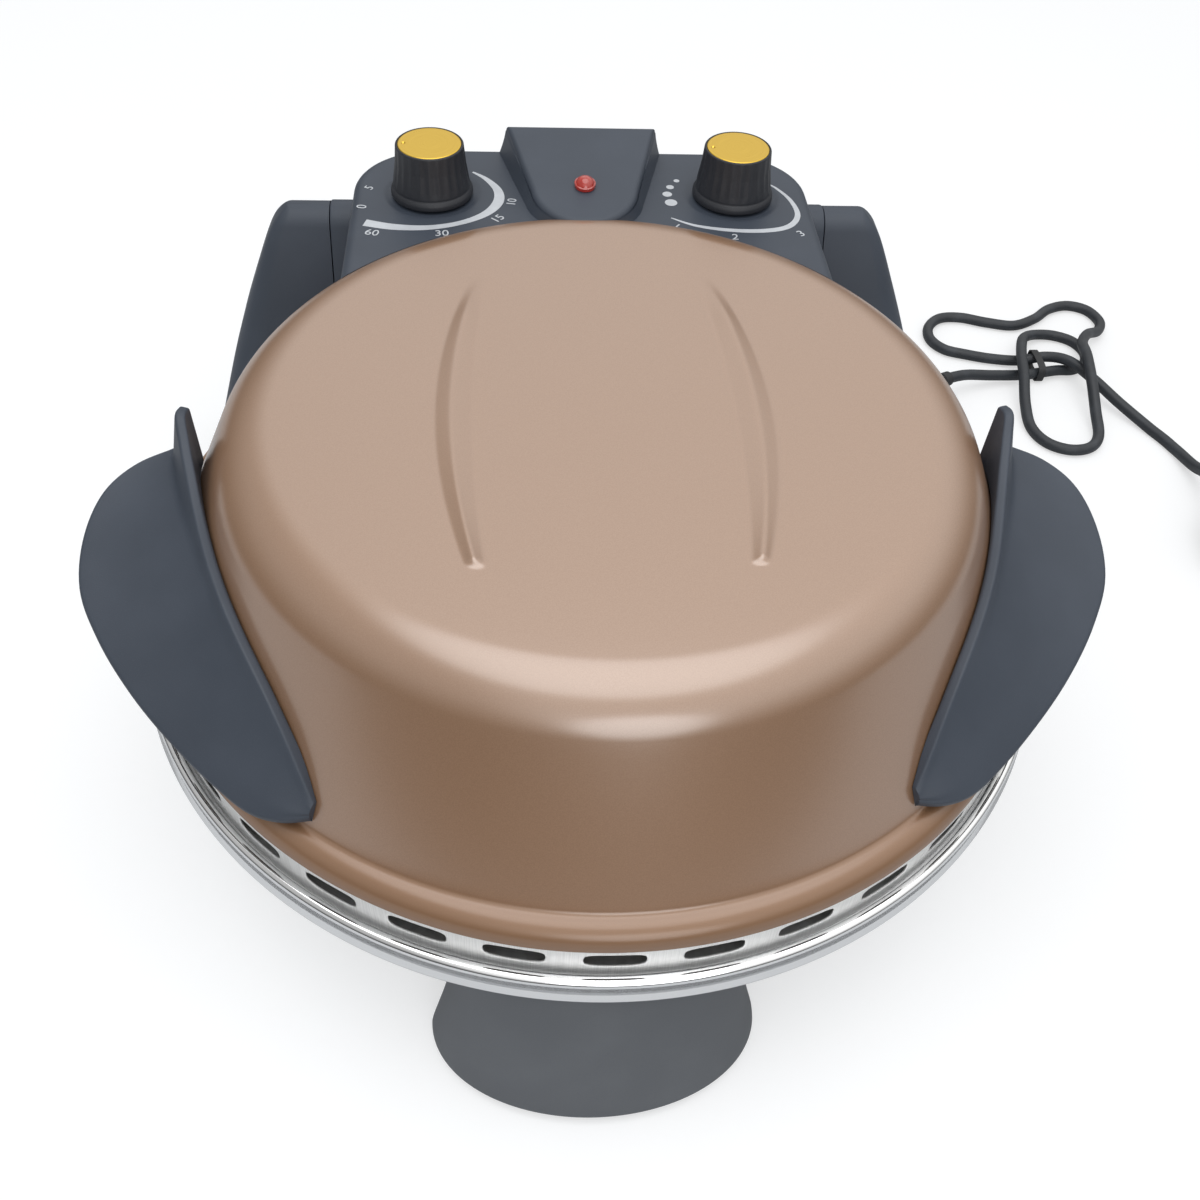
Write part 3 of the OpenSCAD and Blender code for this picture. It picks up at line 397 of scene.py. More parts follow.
# Copper paint: fine flakes tint the colour, a slow noise varies the sheen, a fine bump gives its skin,
# and below 93 mm, on the rolled bead, the clear coat thins and painted shade darkens the tone
def copperPaint():
    f = Finish("copperPaint", Metallic=0.28, Coat_Roughness=0.24, Coat_IOR=2.35)
    flakes = f.noise(0.35, 1.0)
    drift = f.noise(60, 2.0)
    tone = f.mix(f.between(flakes, 0.3, 0.7), (0.305, 0.166, 0.086), (0.348, 0.192, 0.104))
    tone = f.mix(drift * 0.3, tone, (0.33, 0.180, 0.094))
    skin = f.noise(0.9, 2.0) + 0.4 * f.noise(0.3, 1.0)
    bead = 1 - f.between(f.roundAxis()[2], 0.0885, 0.093)
    # Painted shade: the tone on the rolled bead is darkened towards deep brown
    tone = f.mix(0.7 * bead, tone, (0.245, 0.126, 0.060))
    return f.cover(tone, 0.50 + 0.06 * drift + 0.05 * flakes, skin, 0.006, Coat_Weight=0.95 - 0.63 * bead)


# Moulded black plastic: a grain of fine bumps, a faint cloudiness, and a lighter tone on the grain's high
# spots
def blackPlastic(name="blackPlastic", dark=(0.043, 0.054, 0.074), pale=(0.059, 0.072, 0.096), grain=0.45):
    f = Finish(name)
    cloud = f.noise(25, 3.0)
    fine = f.noise(grain, 2.0, 0.6)
    tone = f.mix(0.5 * f.between(cloud, 0.3, 0.8), dark, pale)
    tone = f.mix(0.3 * f.between(fine, 0.55, 0.75), tone, (0.075, 0.087, 0.102))
    return f.cover(tone, 0.45 + 0.05 * cloud + 0.06 * fine, fine, 0.03)


# Brushed steel round the upright axis: long upright strokes over the angle, and a slow change of sheen
def brushedSteel():
    f = Finish("brushedSteel", Metallic=0.8)
    angle, radius, height = f.roundAxis()
    strokes = f.strokes(angle * 420.0, height * 60.0, radius * 30.0, 3.0, 0.6)
    slow = f.noise(30, 2.0)
    tone = f.mix(f.between(strokes, 0.3, 0.7), (0.82, 0.82, 0.81), (0.95, 0.95, 0.94))
    return f.cover(tone, 0.3 + 0.14 * strokes + 0.08 * slow, strokes, 0.008)


# Polished chrome with faint smears
def chrome():
    f = Finish("chrome", Metallic=1.0)
    smear = f.noise(18, 4.0, 0.6)
    fine = f.noise(2.5, 2.0)
    tone = f.mix(smear, (0.86, 0.87, 0.89), (0.93, 0.94, 0.95))
    return f.feed(Base_Color=tone, Roughness=0.11 + 0.1 * f.between(smear, 0.5, 0.8) + 0.02 * fine)


# Pressed aluminised or zinc sheet: soft cloudy spangle with fine rolling lines
def sheetMetal(name, low, high, size):
    f = Finish(name, Metallic=0.85)
    spangle = f.add("TexVoronoi", out="Color", Vector=f.place, Scale=1000.0 / size)
    cell = f.add("SeparateColor", Color=spangle)
    drawn = f.add("VectorMath", {"operation": "MULTIPLY"}, i0=f.place, i1=(1.0, 0.04, 1.0))
    lines = f.noise(0.6, at=drawn)
    tone = f.mix(0.6 * cell + 0.4 * lines, low, high)
    return f.cover(tone, 0.34 + 0.1 * lines + 0.08 * cell, lines, 0.01)


# Heater tube: dark oxide with straw and blue tints and a dry skin
def elementSteel():
    f = Finish("elementSteel", Metallic=0.75)
    tint = f.noise(28, 3.0)
    fine = f.noise(0.8, 3.0)
    tone = f.add("ValToRGB", {"stops": [(0.25, (0.10, 0.085, 0.075)), (0.5, (0.16, 0.15, 0.14)),
                                        (0.65, (0.12, 0.11, 0.13)), (0.8, (0.17, 0.14, 0.10))]}, Fac=tint)
    return f.cover(tone, 0.42 + 0.2 * fine, fine, 0.02)


# Gold foil disc: rings of fine turning round the disc's own middle
def goldFoil(name, x, y):
    f = Finish(name, Metallic=0.95)
    angle, radius = f.roundAxis(x * mm, y * mm)[:2]
    rings = f.strokes(radius * 2600.0, angle * 0.6, 0.0)
    tone = f.mix(rings, (0.67, 0.43, 0.055), (0.80, 0.55, 0.10))
    return f.cover(tone, 0.24 + 0.12 * rings, rings, 0.006)


# Moulded red lens: cloudy, glossy, with a faint glow of its own
def redLens():
    f = Finish("redLens", Transmission_Weight=0.3, IOR=1.49, Coat_Weight=1.0, Emission_Strength=0.06)
    cloud = f.noise(3.0, 2.0)
    tone = f.mix(cloud, (0.42, 0.022, 0.014), (0.68, 0.055, 0.035))
    return f.feed(Base_Color=tone, Emission_Color=tone, Roughness=0.06 + 0.06 * cloud)


# Fired stone: sandy ground with pale and dark grains, and open pores darkened with painted shade
def bakedStone():
    f = Finish("bakedStone")
    broad = f.noise(40, 4.0, 0.6)
    grain = f.noise(1.1, 4.0, 0.65)
    pores = f.add("TexVoronoi", out="Distance", Vector=f.place, Scale=420.0)
    tone = f.mix(broad, (0.56, 0.45, 0.31), (0.70, 0.59, 0.44))
    tone = f.mix(0.5 * f.between(grain, 0.55, 0.75), tone, (0.80, 0.72, 0.58))
    # Painted shade: the tone darkens inside the pores
    tone = f.mix(0.6 * (1 - f.between(pores, 0.05, 0.16)), tone, (0.30, 0.22, 0.14))
    return f.cover(tone, 0.86 + 0.1 * grain, grain + 0.6 * f.between(pores, 0.0, 0.2), 0.12)


# Rubber and soft vinyl: nearly black, dry, with a fine skin and some dust
def softBlack(name, tone=(0.018, 0.019, 0.021), sheen=0.5, size=0.7):
    f = Finish(name)
    fine = f.noise(size, 3.0)
    dust = f.noise(12, 3.0)
    colour = f.mix(0.6 * f.between(dust, 0.45, 0.8), tone, tuple(2.1 * c for c in tone))
    return f.cover(colour, sheen + 0.14 * fine, fine, 0.02)


# Small painted or plain fittings: one tone with a slight cloud and grain
def plainFitting(name, tone, metallic=0.0, rough=0.4, size=1.0):
    f = Finish(name, Metallic=metallic)
    cloud = f.noise(9 * size, 3.0)
    fine = f.noise(0.5 * size, 2.0)
    colour = f.mix(cloud, tuple(0.86 * c for c in tone), tuple(min(1.0, 1.1 * c) for c in tone))
    return f.cover(colour, rough + 0.12 * fine, fine, 0.012)


finishes = dict(
    copper_paint=copperPaint(), black_plastic=blackPlastic(), brushed_steel=brushedSteel(), chrome=chrome(),
    # The foot's black plastic in a lighter copy: painted light standing in for the light the foot catches
    foot_plastic_painted_light=blackPlastic("footPlasticPaintedLight", (0.105, 0.113, 0.125), (0.135, 0.144, 0.157)),
    knob_plastic=blackPlastic("knobPlastic", (0.022, 0.024, 0.030), (0.032, 0.034, 0.041), 0.3),
    element_steel=elementSteel(), red_lens=redLens(), stone=bakedStone(),
    white_plastic=plainFitting("whitePlastic", (0.70, 0.70, 0.66)),
    zinc=plainFitting("zincFitting", (0.52, 0.53, 0.55), 0.9, 0.3),
    zinc_sheet=sheetMetal("zincSheet", (0.46, 0.47, 0.48), (0.58, 0.59, 0.60), 7.0),
    aluminium_sheet=sheetMetal("aluminiumSheet", (0.60, 0.61, 0.62), (0.70, 0.71, 0.72), 3.0),
    rubber=softBlack("rubberFoot"), cord_rubber=softBlack("cordVinyl", (0.026, 0.030, 0.036), 0.42, 0.5),
    print=plainFitting("dialPrint", (0.62, 0.645, 0.68), 0.2, 0.42, 0.5))
goldDiscs = dict(timer_disc=goldFoil("goldTimer", -65.0, 149.0),
                 thermostat_disc=goldFoil("goldThermostat", 65.0, 149.0))

# Every CAD node that stays gets the finish of its slot
slotOf = {part["node"]: part["material_slot"] for part in frame["record"]["subparts"]}
for name, node in nodes.items():
    node.data.materials.clear()
    node.data.materials.append(goldDiscs.get(name) or finishes[slotOf[name]])
print("finishes made")


# Lid: a flat top with two crescent ribs, a round shoulder, a straight flank, a crease and a rolled bead

lid = dict(top=156, ringTop=81.4, ringR=168, flatR=114, shoulderR=23, flankAngle=25.507,
           flankFoot=(160, 90), crease=1.6, beadAt=(161.3, 83), beadR=6.7, sheet=1.8, around=560)
ribs = dict(height=1.65, halfLength=79, innerTip=40.4, innerBulge=5.4, outerTip=46.3, outerBulge=12.2,
            crest=0.2, crestAt=0.55, crestWidth=0.07, soft=0.1)


# Height of the ribs over the flat top, with v from 0 to 1 across a rib and t from -1 to 1 along it:
# two eased slopes that meet in a thin crest, blunt in front and fading at the rear
def ribHeight(x, y, s):
    t = y / s["halfLength"]
    bow = np.clip(1 - t * t, 0, 1)
    inner = s["innerTip"] + s["innerBulge"] * bow
    outer = s["outerTip"] + s["outerBulge"] * bow
    v = np.clip((np.abs(x) - inner) / (outer - inner), 0, 1)
    peak, soft = s["crestAt"], s["soft"]
    fall = np.abs(v - peak) / np.where(v < peak, peak, 1 - peak)
    slopes = (math.hypot(1, soft) - np.hypot(fall, soft)) / (math.hypot(1, soft) - soft)
    crest = s["crest"] * ease(-t, 0.1, 0.95) * np.exp(-((v - peak) / s["crestWidth"])**2)
    ends = ease(t, -1.0, -0.965) * ease(-t, -1.0, -0.6)
    return ends * (s["height"] * slopes + crest)


# Half section of the lid, from its middle to its lip, with close steps under the ribs; the flank leaves
# the shoulder square to its radius and ends where it meets the bead's circle
def lidProfile(s):
    a = math.radians(s["flankAngle"])
    across, down = math.cos(a), math.sin(a)
    r, middle = s["shoulderR"], np.array(s["beadAt"])
    shoulder = np.array([s["flatR"], s["top"] - r])
    start = shoulder + r * np.array([across, down])
    along = np.array([down, -across])
    away = start - middle
    b = away @ along
    reach = -b - math.sqrt(b * b - away @ away + s["beadR"]**2)
    meet = start + reach * along
    meetAngle = math.degrees(math.atan2(*(meet - middle)[::-1]))
    flank = start + np.linspace(0, reach - s["crease"], 14)[1:, None] * along
    bead = arc(middle, s["beadR"], meetAngle - 15, 0, 18)
    t = np.linspace(0, 1, 7)[1:-1, None]
    crease = (1 - t)**2 * flank[-1] + 2 * t * (1 - t) * meet + t**2 * bead[0]
    radii = np.r_[0.0, 10, 20, 30, 36, np.arange(39, 93, 0.75), 97, 102, 108, s["flatR"]]
    roof = np.vstack([withHeight(radii, s["top"]), arc(shoulder, r, 90, s["flankAngle"], 22)[1:]])
    return np.vstack([roof, flank, crease, bead, [[s["ringR"], s["ringTop"] + 0.05]]])


# Radius of the lid's skin at a height: shoulder circle above, straight flank below
def lidRadius(z):
    a = math.radians(lid["flankAngle"])
    r, up = lid["shoulderR"], z - (lid["top"] - lid["shoulderR"])
    overShoulder = lid["flatR"] + np.sqrt(np.clip(r**2 - up**2, 0, None))
    footR, footZ = lid["flankFoot"]
    return float(np.where(up > r * math.sin(a), overShoulder, footR - (z - footZ) * math.tan(a)))


def makeLid(s, r):
    outer = lidProfile(s)
    grid = revolve(outer, s["around"], turn=math.pi / 2)
    onTop = outer[:, 0] <= s["flatR"] + 0.01
    top = grid[onTop]
    top[..., 2] += ribHeight(top[..., 0], top[..., 1], r)
    grid[onTop] = top
    inner = offsetLine(outer[outer[:, 0] > s["flatR"] - 1][::4], s["sheet"])[::-1]
    inner = inner[(inner[:, 0] > 0.5) & (inner[:, 1] > s["ringTop"] + 0.4)]
    inner = np.vstack([[s["ringR"] - s["sheet"], s["ringTop"] + 0.05], inner, [0.0, s["top"] - s["sheet"]]])
    shell = np.concatenate([grid, revolve(inner, s["around"], turn=math.pi / 2)])
    gridPiece("lidSkin", shell, "lid", ["lid_shell"], "copper_paint", 50)


makeLid(lid, ribs)
print("lid made")


# Slotted ring and the reflector behind it

ring = dict(r=168, low=66, high=81.4, sheet=0.5, slots=34, slotL=19.5, slotH=7.2, squareness=4.0,
            slotZ=76, turn=-1, press=0.35)
reflector = dict(bend=5, sheet=1, line=[
    (166.6, 81), (153, 81), (134, 114.4), (122, 124.4), (106, 128.4), (0, 128.4)])


# One slot's cell, unrolled: rows run from the slot's edge, bent inwards, to the cell's own edge.
# The slot is |x/a|^n + |y/b|^n = 1, with n the squareness
def slotCell(s):
    a = np.radians(np.arange(0, 360, 9) + 4.5)
    ray = np.stack([np.cos(a), np.sin(a)], -1)
    half = np.array([s["slotL"] / 2, s["slotH"] / 2])
    slot = ray / np.linalg.norm(ray / half, ord=s["squareness"], axis=1)[:, None]
    wide = 2 * math.pi * s["r"] / s["slots"] / 2
    up, down = s["high"] - s["slotZ"], s["slotZ"] - s["low"]
    reach = np.minimum(wide / np.maximum(np.abs(ray[:, 0]), 1e-6),
                       np.where(ray[:, 1] > 0, up, down) / np.maximum(np.abs(ray[:, 1]), 1e-6))
    edge = ray * reach[:, None]
    for corner in ((wide, up), (-wide, up), (-wide, -down), (wide, -down)):
        edge[np.argmin(np.linalg.norm(edge - np.array(corner), axis=1))] = corner
    share = np.array([0, 0, 0, 0.04, 0.12, 0.3, 0.6, 1.0])
    depth = np.array([1.0, 0.7, 0.45, 0.12, 0.02, 0, 0, 0])
    return slot[None] + share[:, None, None] * (edge - slot)[None], depth


def makeRing(s):
    flat, depth = slotCell(s)
    front = math.radians(s["turn"]) - math.pi / 2
    turns = front + np.arange(s["slots"]) * 2 * math.pi / s["slots"]
    a = turns[:, None, None] + flat[None, ..., 0] / s["r"]
    z = s["slotZ"] + flat[..., 1] + 0 * a
    cells = lambda r: np.stack([r * np.cos(a), r * np.sin(a), z], -1)
    both = np.concatenate([cells(s["r"] - s["sheet"])[:, ::-1],
                           cells(s["r"] - (depth * s["press"])[None, :, None])], axis=1)
    mesh = finishMesh(joinMeshes("slottedRing", [rawMesh("ringCell", cell) for cell in both]), 50)
    foot = revolve([(s["r"] - s["sheet"], s["low"]), (s["r"], s["low"])], s["slots"] * 8)
    placePiece("slottedRing", [mesh, gridMesh("ringFoot", foot, outward=False)], "lid",
               ["reflector_dome"], "brushed_steel")


# The reflector's section: flange, rounded corners, and a shallow cone to the middle
def makeReflector(s):
    line = np.array(s["line"])
    rounded = np.vstack([line[:1], roundCorners(line, s["bend"], 5)[5:20], line[-1:]])
    under = offsetLine(rounded, -s["sheet"])[::-1]
    under[:, 0] = np.maximum(under[:, 0], 0)
    shell = revolve(np.vstack([rounded, under]), 240)
    gridPiece("reflectorDome", shell, "lid", [], "brushed_steel", 50, finishes["aluminium_sheet"], rows=True)


makeRing(ring)
makeReflector(reflector)
print("ring and reflector made")


# Ears: one loft each, with sections at azimuths from the front

ear = dict(
    reach=183.5, edge=3.4, plate=4, ringTop=81.4, footR=160, footZ=90, slope=0.4771, seat=0.3,
    turns=7, bevel=0.5, cuts=[0.8, 0.8, 0.9, 0.7, 0.9, 2.2, 9, 9, 9, 0.9, 0.9, 0.9, 0.9, 9, 3, 0.8],
    stations=[  # azimuth, ridge r and z, crease r and z, edge r and z
        (37, 157.2, 19.6, 158.4, 18, -23.7, 16), (39.5, 154.8, 28, 156.6, 24.6, -18, 15.4),
        (43, 151.6, 36.5, 153.6, 33, -14, 15.2), (48, 148.2, 44, 150.4, 40.5, -12, 17.4),
        (54, 145.6, 49.5, 147.6, 46, -9.5, 21), (61, 143.6, 54, 145.4, 50.5, -5.7, 26.8),
        (68, 142.4, 56.6, 144.4, 52.8, -2, 32.8), (74, 142.2, 58.6, 145, 53.4, 0, 38),
        (80, 143, 62.6, 147, 53.4, -3, 43.6), (85, 144.6, 67.6, 149, 53.2, -9.5, 48.6),
        (88.5, 146, 72.6, 150.6, 53, -19.5, 51.4), (91, 146, 71.1, 150.6, 52.6, -30.5, 51.8)])


# Section outlines in r and z, of sixteen corners: up the flank, over the edge, along the plate and back
def earOutline(rows, s):
    az, ridgeR, ridgeZ, creaseR, creaseZ, edgeR, edgeZ = rows.T
    ridgeZ, creaseZ, edgeZ = ridgeZ + s["ringTop"], creaseZ + s["ringTop"], edgeZ + s["ringTop"]
    edgeR = edgeR + s["reach"]
    flank = lambda z: s["footR"] - (z - s["footZ"]) * s["slope"]
    hug = s["seat"] * math.hypot(1, s["slope"])
    innerR = np.maximum(ridgeR - s["edge"], flank(ridgeZ - 0.8) + hug)
    depth = np.minimum(22, s["plate"] + 1.5 + 1.5 * (az - az[0]))
    wallFoot = np.maximum(s["footZ"] + 1.2, creaseZ - depth)
    topZ = np.minimum(ridgeZ - 1, s["footZ"] + (s["footR"] + 2.2 * s["seat"] - innerR) / s["slope"])
    reach, drop = edgeR - creaseR, edgeZ - creaseZ
    sag, skin = 0.05 * reach, s["plate"]
    plate = lambda share, below: (creaseR + share * reach, creaseZ + share * drop - below)
    corners = [
        (flank(wallFoot) + hug, wallFoot), (flank(topZ) + hug, topZ), (innerR, ridgeZ - 0.8),
        (ridgeR - 0.6, ridgeZ), (ridgeR + 0.2, ridgeZ - 0.8), (creaseR, creaseZ),
        plate(0.22, 0.7 * sag), plate(0.5, sag), plate(0.78, 0.7 * sag),
        (edgeR - 0.8, edgeZ), (edgeR, edgeZ - 1), (edgeR - 0.3, edgeZ - skin + 0.8),
        (edgeR - 1.4, edgeZ - skin), plate(0.5, sag + skin + 1), plate(0.16, skin + 0.2 * depth - 1),
        (np.minimum(flank(wallFoot) + hug + s["edge"], creaseR + 0.3 * reach - 0.2), wallFoot)]
    return np.stack([np.stack(c, axis=-1) for c in corners], axis=1)


def makeEar(side, word, s):
    rows = smoothRows(s["stations"], s["turns"])
    outline = roundCorners(earOutline(rows, s), s["cuts"], 5)
    r, a = outline[..., 0], np.radians(rows[:, 0])[:, None]
    grid = np.stack([side * r * np.sin(a), -r * np.cos(a), outline[..., 1]], -1)
    gridPiece("ear" + word.title(), grid, "lid", ["ear_handle_" + word], "black_plastic", 55,
              bevel=s["bevel"], caps=(0, -1))


for side, word in sides:
    makeEar(side, word, ear)
print("ears made")


# Console: walls, a rolled upper edge and a panel that runs to the lid, with a shallow dish round each knob

console = dict(halfW=99, rearY=188.5, panel=151, floor=106, corner=33, draft=0.06, roll=4.5,
               lidGap=0.3, dishR=20, dishDepth=0.7, knobX=65, knobY=149)
pod = dict(halfW=33, rearY=181, tipY=119, tipR=23, rise=15, tipRise=4, draft=5, roll=2.6,
           low=5)
podSlope = (pod["rise"] - pod["tipRise"]) / (pod["rearY"] - pod["tipY"])


# Outline at height z, moved inwards: straight side from the lid, round corner, straight rear, and so on
def consoleOutline(z, inset, s):
    d = s["draft"] * (s["panel"] - z) - inset
    w, rear, c = s["halfW"] + d, s["rearY"] + d, s["corner"] - inset / 2
    front = math.sqrt(max((lidRadius(z) + s["lidGap"])**2 - w * w, 0))
    straight = np.linspace(front, rear - c, 26)[:-1]
    back = np.linspace(w - c, 0, 34)[1:]
    right = np.vstack([np.column_stack([w + 0 * straight, straight]),
                       arc((w - c, rear - c), c, 0, 90, 26),
                       np.column_stack([back, rear + 0 * back])])
    return np.vstack([right, right[-2::-1] * np.array([-1, 1])])


# The bearings of an outline, on the circle that the lid leaves free at a height
def alongLid(outline, z, s):
    r = lidRadius(z) + s["lidGap"]
    bearing = np.arctan2(outline[:, 1], outline[:, 0])
    return withHeight(np.column_stack([r * np.cos(bearing), r * np.sin(bearing)]), z)


def makeConsole(s):
    low, high, r = s["floor"], s["panel"], s["roll"]
    rows = [(z, 0.0) for z in np.linspace(low, high - r, 14)]
    rows += [(high - down, inset) for down, inset in rollSteps(r)[1:]]
    walls = np.stack([withHeight(consoleOutline(z, inset, s), z) for z, inset in rows])
    share = np.linspace(0, 1, 70)[1:, None, None]
    panel = walls[-1] + share * (alongLid(walls[-1], high, s) - walls[-1])
    away = np.hypot(np.abs(panel[..., 0]) - s["knobX"], panel[..., 1] - s["knobY"])
    panel[..., 2] -= s["dishDepth"] * (1 - ease(away, s["dishR"] - 1.6, s["dishR"] + 0.8))
    inner = [alongLid(consoleOutline(z, 0, s), z, s) for z in np.linspace(high, low, 12)[1:]]
    grid = np.concatenate([walls, panel, np.stack(inner)])
    gridPiece("consoleShell", grid, "lid", ["console_housing"], "black_plastic", 60, columns=False)


# Height of the pod's top, which slopes down to the tip
def podTop(y):
    return console["panel"] + pod["tipRise"] + (y - pod["tipY"]) * podSlope


# Pod outline at one level, a share of the way up: straight rear, round tip
def podRing(share, inset, down, s):
    w, r = s["halfW"] - inset, s["tipR"] - inset
    tip = arc((0, s["tipY"] + s["tipR"]), r, 186, 354, 49)
    back = np.column_stack([np.linspace(w, -w, 30), np.full(30, s["rearY"] - inset)])
    side = np.linspace(0, 1, 20)[1:-1, None]
    plan = np.vstack([back, back[-1] + side * (tip[0] - back[-1]), tip, tip[-1] + side * (back[0] - tip[-1])])
    return np.column_stack([plan, (console["panel"] - s["low"]) * (1 - share)
                            + (podTop(plan[:, 1]) - down) * share])


def makePod(s):
    levels = [podRing(k, -s["draft"] * (1 - k)**1.5, 0.0, s) for k in np.linspace(0, 0.84, 10)]
    levels += [podRing(1, inset, down, s) for down, inset in rollSteps(s["roll"])]
    rim = levels[-1]
    spineY = np.clip(rim[:, 1], s["tipY"] + s["tipR"], s["rearY"] - 12)
    spine = np.column_stack([rim[:, 0] * 0, spineY, podTop(spineY)])
    levels += [rim + k * (spine - rim) for k in np.linspace(0, 1, 12)[1:]]
    gridPiece("consolePod", np.stack(levels), "lid", [], "black_plastic", 50, caps=(0,))


hinge = dict(y=168, z=124, collarD=21.6, collarX=112, cheekFront=(-24, -29),
             cheekRear=(8, -29), barrelD=20.6, inner=99.5, edge=0.8)


# Outline seen from the side: a circle of radius r and the straight lines that touch it from two points below
def barrelOutline(r, front, rear, steps):
    frontA = math.degrees(math.atan2(front[1], front[0]) - math.acos(r / np.hypot(*front)))
    rearA = math.degrees(math.atan2(rear[1], rear[0]) + math.acos(r / np.hypot(*rear)))
    return np.vstack([front, arc((0, 0), r, frontA % 360, rearA, steps), rear])


def makeCheek(side, word, s):
    outline = barrelOutline(s["collarD"] / 2, s["cheekFront"], s["cheekRear"], 40)
    shrink = (outline.mean(axis=0) - outline) / 12
    layers = [(s["inner"], 0.0), (s["collarX"] - s["edge"], 0.0),
              (s["collarX"] - 0.3 * s["edge"], 0.3 * s["edge"]), (s["collarX"], s["edge"])]
    grid = np.stack([np.column_stack([np.full(len(outline), side * x),
                                      (s["y"], s["z"]) + outline + shrink * inset]) for x, inset in layers])
    gridPiece("hingeCheek" + word.title(), grid, "lid", [], "black_plastic", caps=(0, -1))


makeConsole(console)
makePod(pod)
for side, word in sides:
    makeCheek(side, word, hinge)
print("console made")


# Knobs: a fluted cone that flares into a skirt, with a thin rim round its gold disc

knob = dict(x=65, y=149, base=151.3, height=22, boreR=3.05, topR=14.3, lowR=16.3, skirtR=17.5,
            discR=13.35, recess=0.8, flutes=24, fluteDepth=0.42)


def makeKnob(word, x, s):
    h, seat = s["height"], s["height"] - s["recess"]
    top, low, skirt, disc, bore = (s[key] for key in ("topR", "lowR", "skirtR", "discR", "boreR"))
    profile = smoothProfile([
        (bore, 0.0), (skirt - 0.5, 0.0), (skirt, 0.5), (skirt - 0.1, 2.2), (skirt - 0.75, 3.3),
        (low - 0.1, 3.9), (low, 4.6), (low - 0.35, 7.5), (top + 0.65, 14.0), (top, h - 0.5),
        (top - 0.45, h), (disc + 0.05, h - 0.1), (disc, seat), (bore, seat)], 0.35, 3)
    columns = s["flutes"] * 12
    grid = revolve(profile, columns)
    a = np.arctan2(grid[..., 1], grid[..., 0])
    r = np.hypot(grid[..., 0], grid[..., 1])
    on = ease(grid[..., 2], 4.8, 6.6) * ease(h - grid[..., 2], 0.5, 1.6)
    r = r - s["fluteDepth"] * on * (0.5 - 0.5 * np.cos(a * s["flutes"]))**0.7
    grid = np.stack([x + r * np.cos(a), s["y"] + r * np.sin(a), s["base"] + grid[..., 2]], -1)
    hole = revolve([(bore, s["base"] + seat), (bore, s["base"])], columns, (x, s["y"]))
    gridPiece(word + "Grip", np.concatenate([grid, hole]), word, [word + "_knob"], "knob_plastic", 50)


# Gold disc: a flat foil with a rolled edge and the pointer's dimple near its rim
def makeDisc(word, x, s):
    r = s["discR"] - 0.05
    face = withHeight(np.linspace(r - 0.6, 0, 60), 0.8)
    grid = revolve(np.vstack([[(0.0, 0.0), (r, 0.0), (r, 0.55), (r - 0.2, 0.75)], face]), 180)
    away = np.hypot(grid[..., 0] + s["discR"] - 2.6, grid[..., 1])
    grid[..., 2] -= np.where(grid[..., 2] > 0.7, 0.6 * (1 - ease(away, 0.5, 0.85)), 0)
    grid += np.array([x, s["y"], s["base"] + s["height"] - s["recess"]])
    node = word + "_disc"
    gridPiece(word + "Foil", grid, word, [node], "gold", 50, goldDiscs[node])


for make in (makeKnob, makeDisc):
    for side, word in ((-1, "timer"), (1, "thermostat")):
        make(word, side * knob["x"], knob)


# Lamp: a faceted red jewel on a thin collar, square to the pod's top

lamp = dict(y=141.5, r=4.5, facets=10, seat=0.3)


def makeLamp(s):
    r, tilt = s["r"], math.atan(podSlope)
    drum = revolve([(0.0, -6.5), (3.2, -6.5), (3.2, 0.0), (r, 0.0), (r, 1.3), (r - 0.3, 1.5), (0.0, 1.5)], 60)
    jewel = revolve([(0.0, 1.4), (r - 0.4, 1.4), (r * 0.72, 2.9), (r * 0.3, 3.9), (0.0, 3.9)], s["facets"])
    meshes = []
    for name, grid, sharp in (("lampDrum", drum, 40), ("lampJewel", jewel, 12)):
        x, y, z = grid[..., 0], grid[..., 1], grid[..., 2] + s["seat"]
        turned = np.stack([x, s["y"] + y * math.cos(tilt) - z * math.sin(tilt),
                           podTop(s["y"]) + y * math.sin(tilt) + z * math.cos(tilt)], -1)
        meshes.append(gridMesh(name, turned, sharp))
    placePiece("lampJewel", meshes, "lid", ["lamp_lens"], "red_lens")


makeLamp(lamp)


# Dial prints: tapered bands along curves on the panel, dots and plain numbers

dials = dict(
    z=151.02, thick=0.08, sunk=0.4, proud=0.06,
    timer=[  # x, y, width
        (-92, 124, 5), (-80, 120.9, 4.4), (-66, 120.6, 3.4), (-53, 124.3, 3),
        (-42.5, 131.5, 3.8), (-37, 141, 4.6), (-37, 151, 3.8), (-42, 160.5, 2.4),
        (-48, 166.5, 1)],
    thermostat=[
        (36.5, 130, 0.6), (46, 124.2, 1.6), (60, 120.8, 2.4), (75, 120.5, 2.8), (86, 124, 2.8),
        (91.5, 133, 2.4), (90.5, 145, 1.9), (86, 155, 1.3), (82, 160, 0.7)],
    dots=[(37.6, 142.5, 2.7), (36.6, 149.5, 2.1), (38.4, 155.5, 1.7), (41.8, 161, 1.3)],
    numbers=[  # text, x, y, size, turn
        ("0", -94, 136.5, 6, 80), ("5", -92, 152, 5.6, 62), ("60", -88.5, 116.2, 6, -12),
        ("30", -60, 116.2, 6, 4), ("15", -37, 128, 6, 48), ("10", -31, 141.5, 5.6, 80),
        ("1", 38, 123, 6, -38), ("2", 62, 115.2, 6, -4), ("3", 90.5, 118.4, 6, 28)])


# Band: the curve's points, moved sideways by half the width that each carries
def bandMesh(rows, low, high):
    p = smoothRows(rows, 10)
    left, right = (offsetLine(p[:, :2], way * np.maximum(p[:, 2:], 0.05) / 2) for way in (-1, 1))
    grid = np.stack([withHeight(left, low), withHeight(left, high),
                     withHeight(right, high), withHeight(right, low)], axis=1)
    return gridMesh("band", grid, 30, caps=(0, -1))


def dotMesh(x, y, r, low, high):
    return gridMesh("dot", revolve([(0, low), (r, low), (r, high), (0, high)], 24, (x, y)))


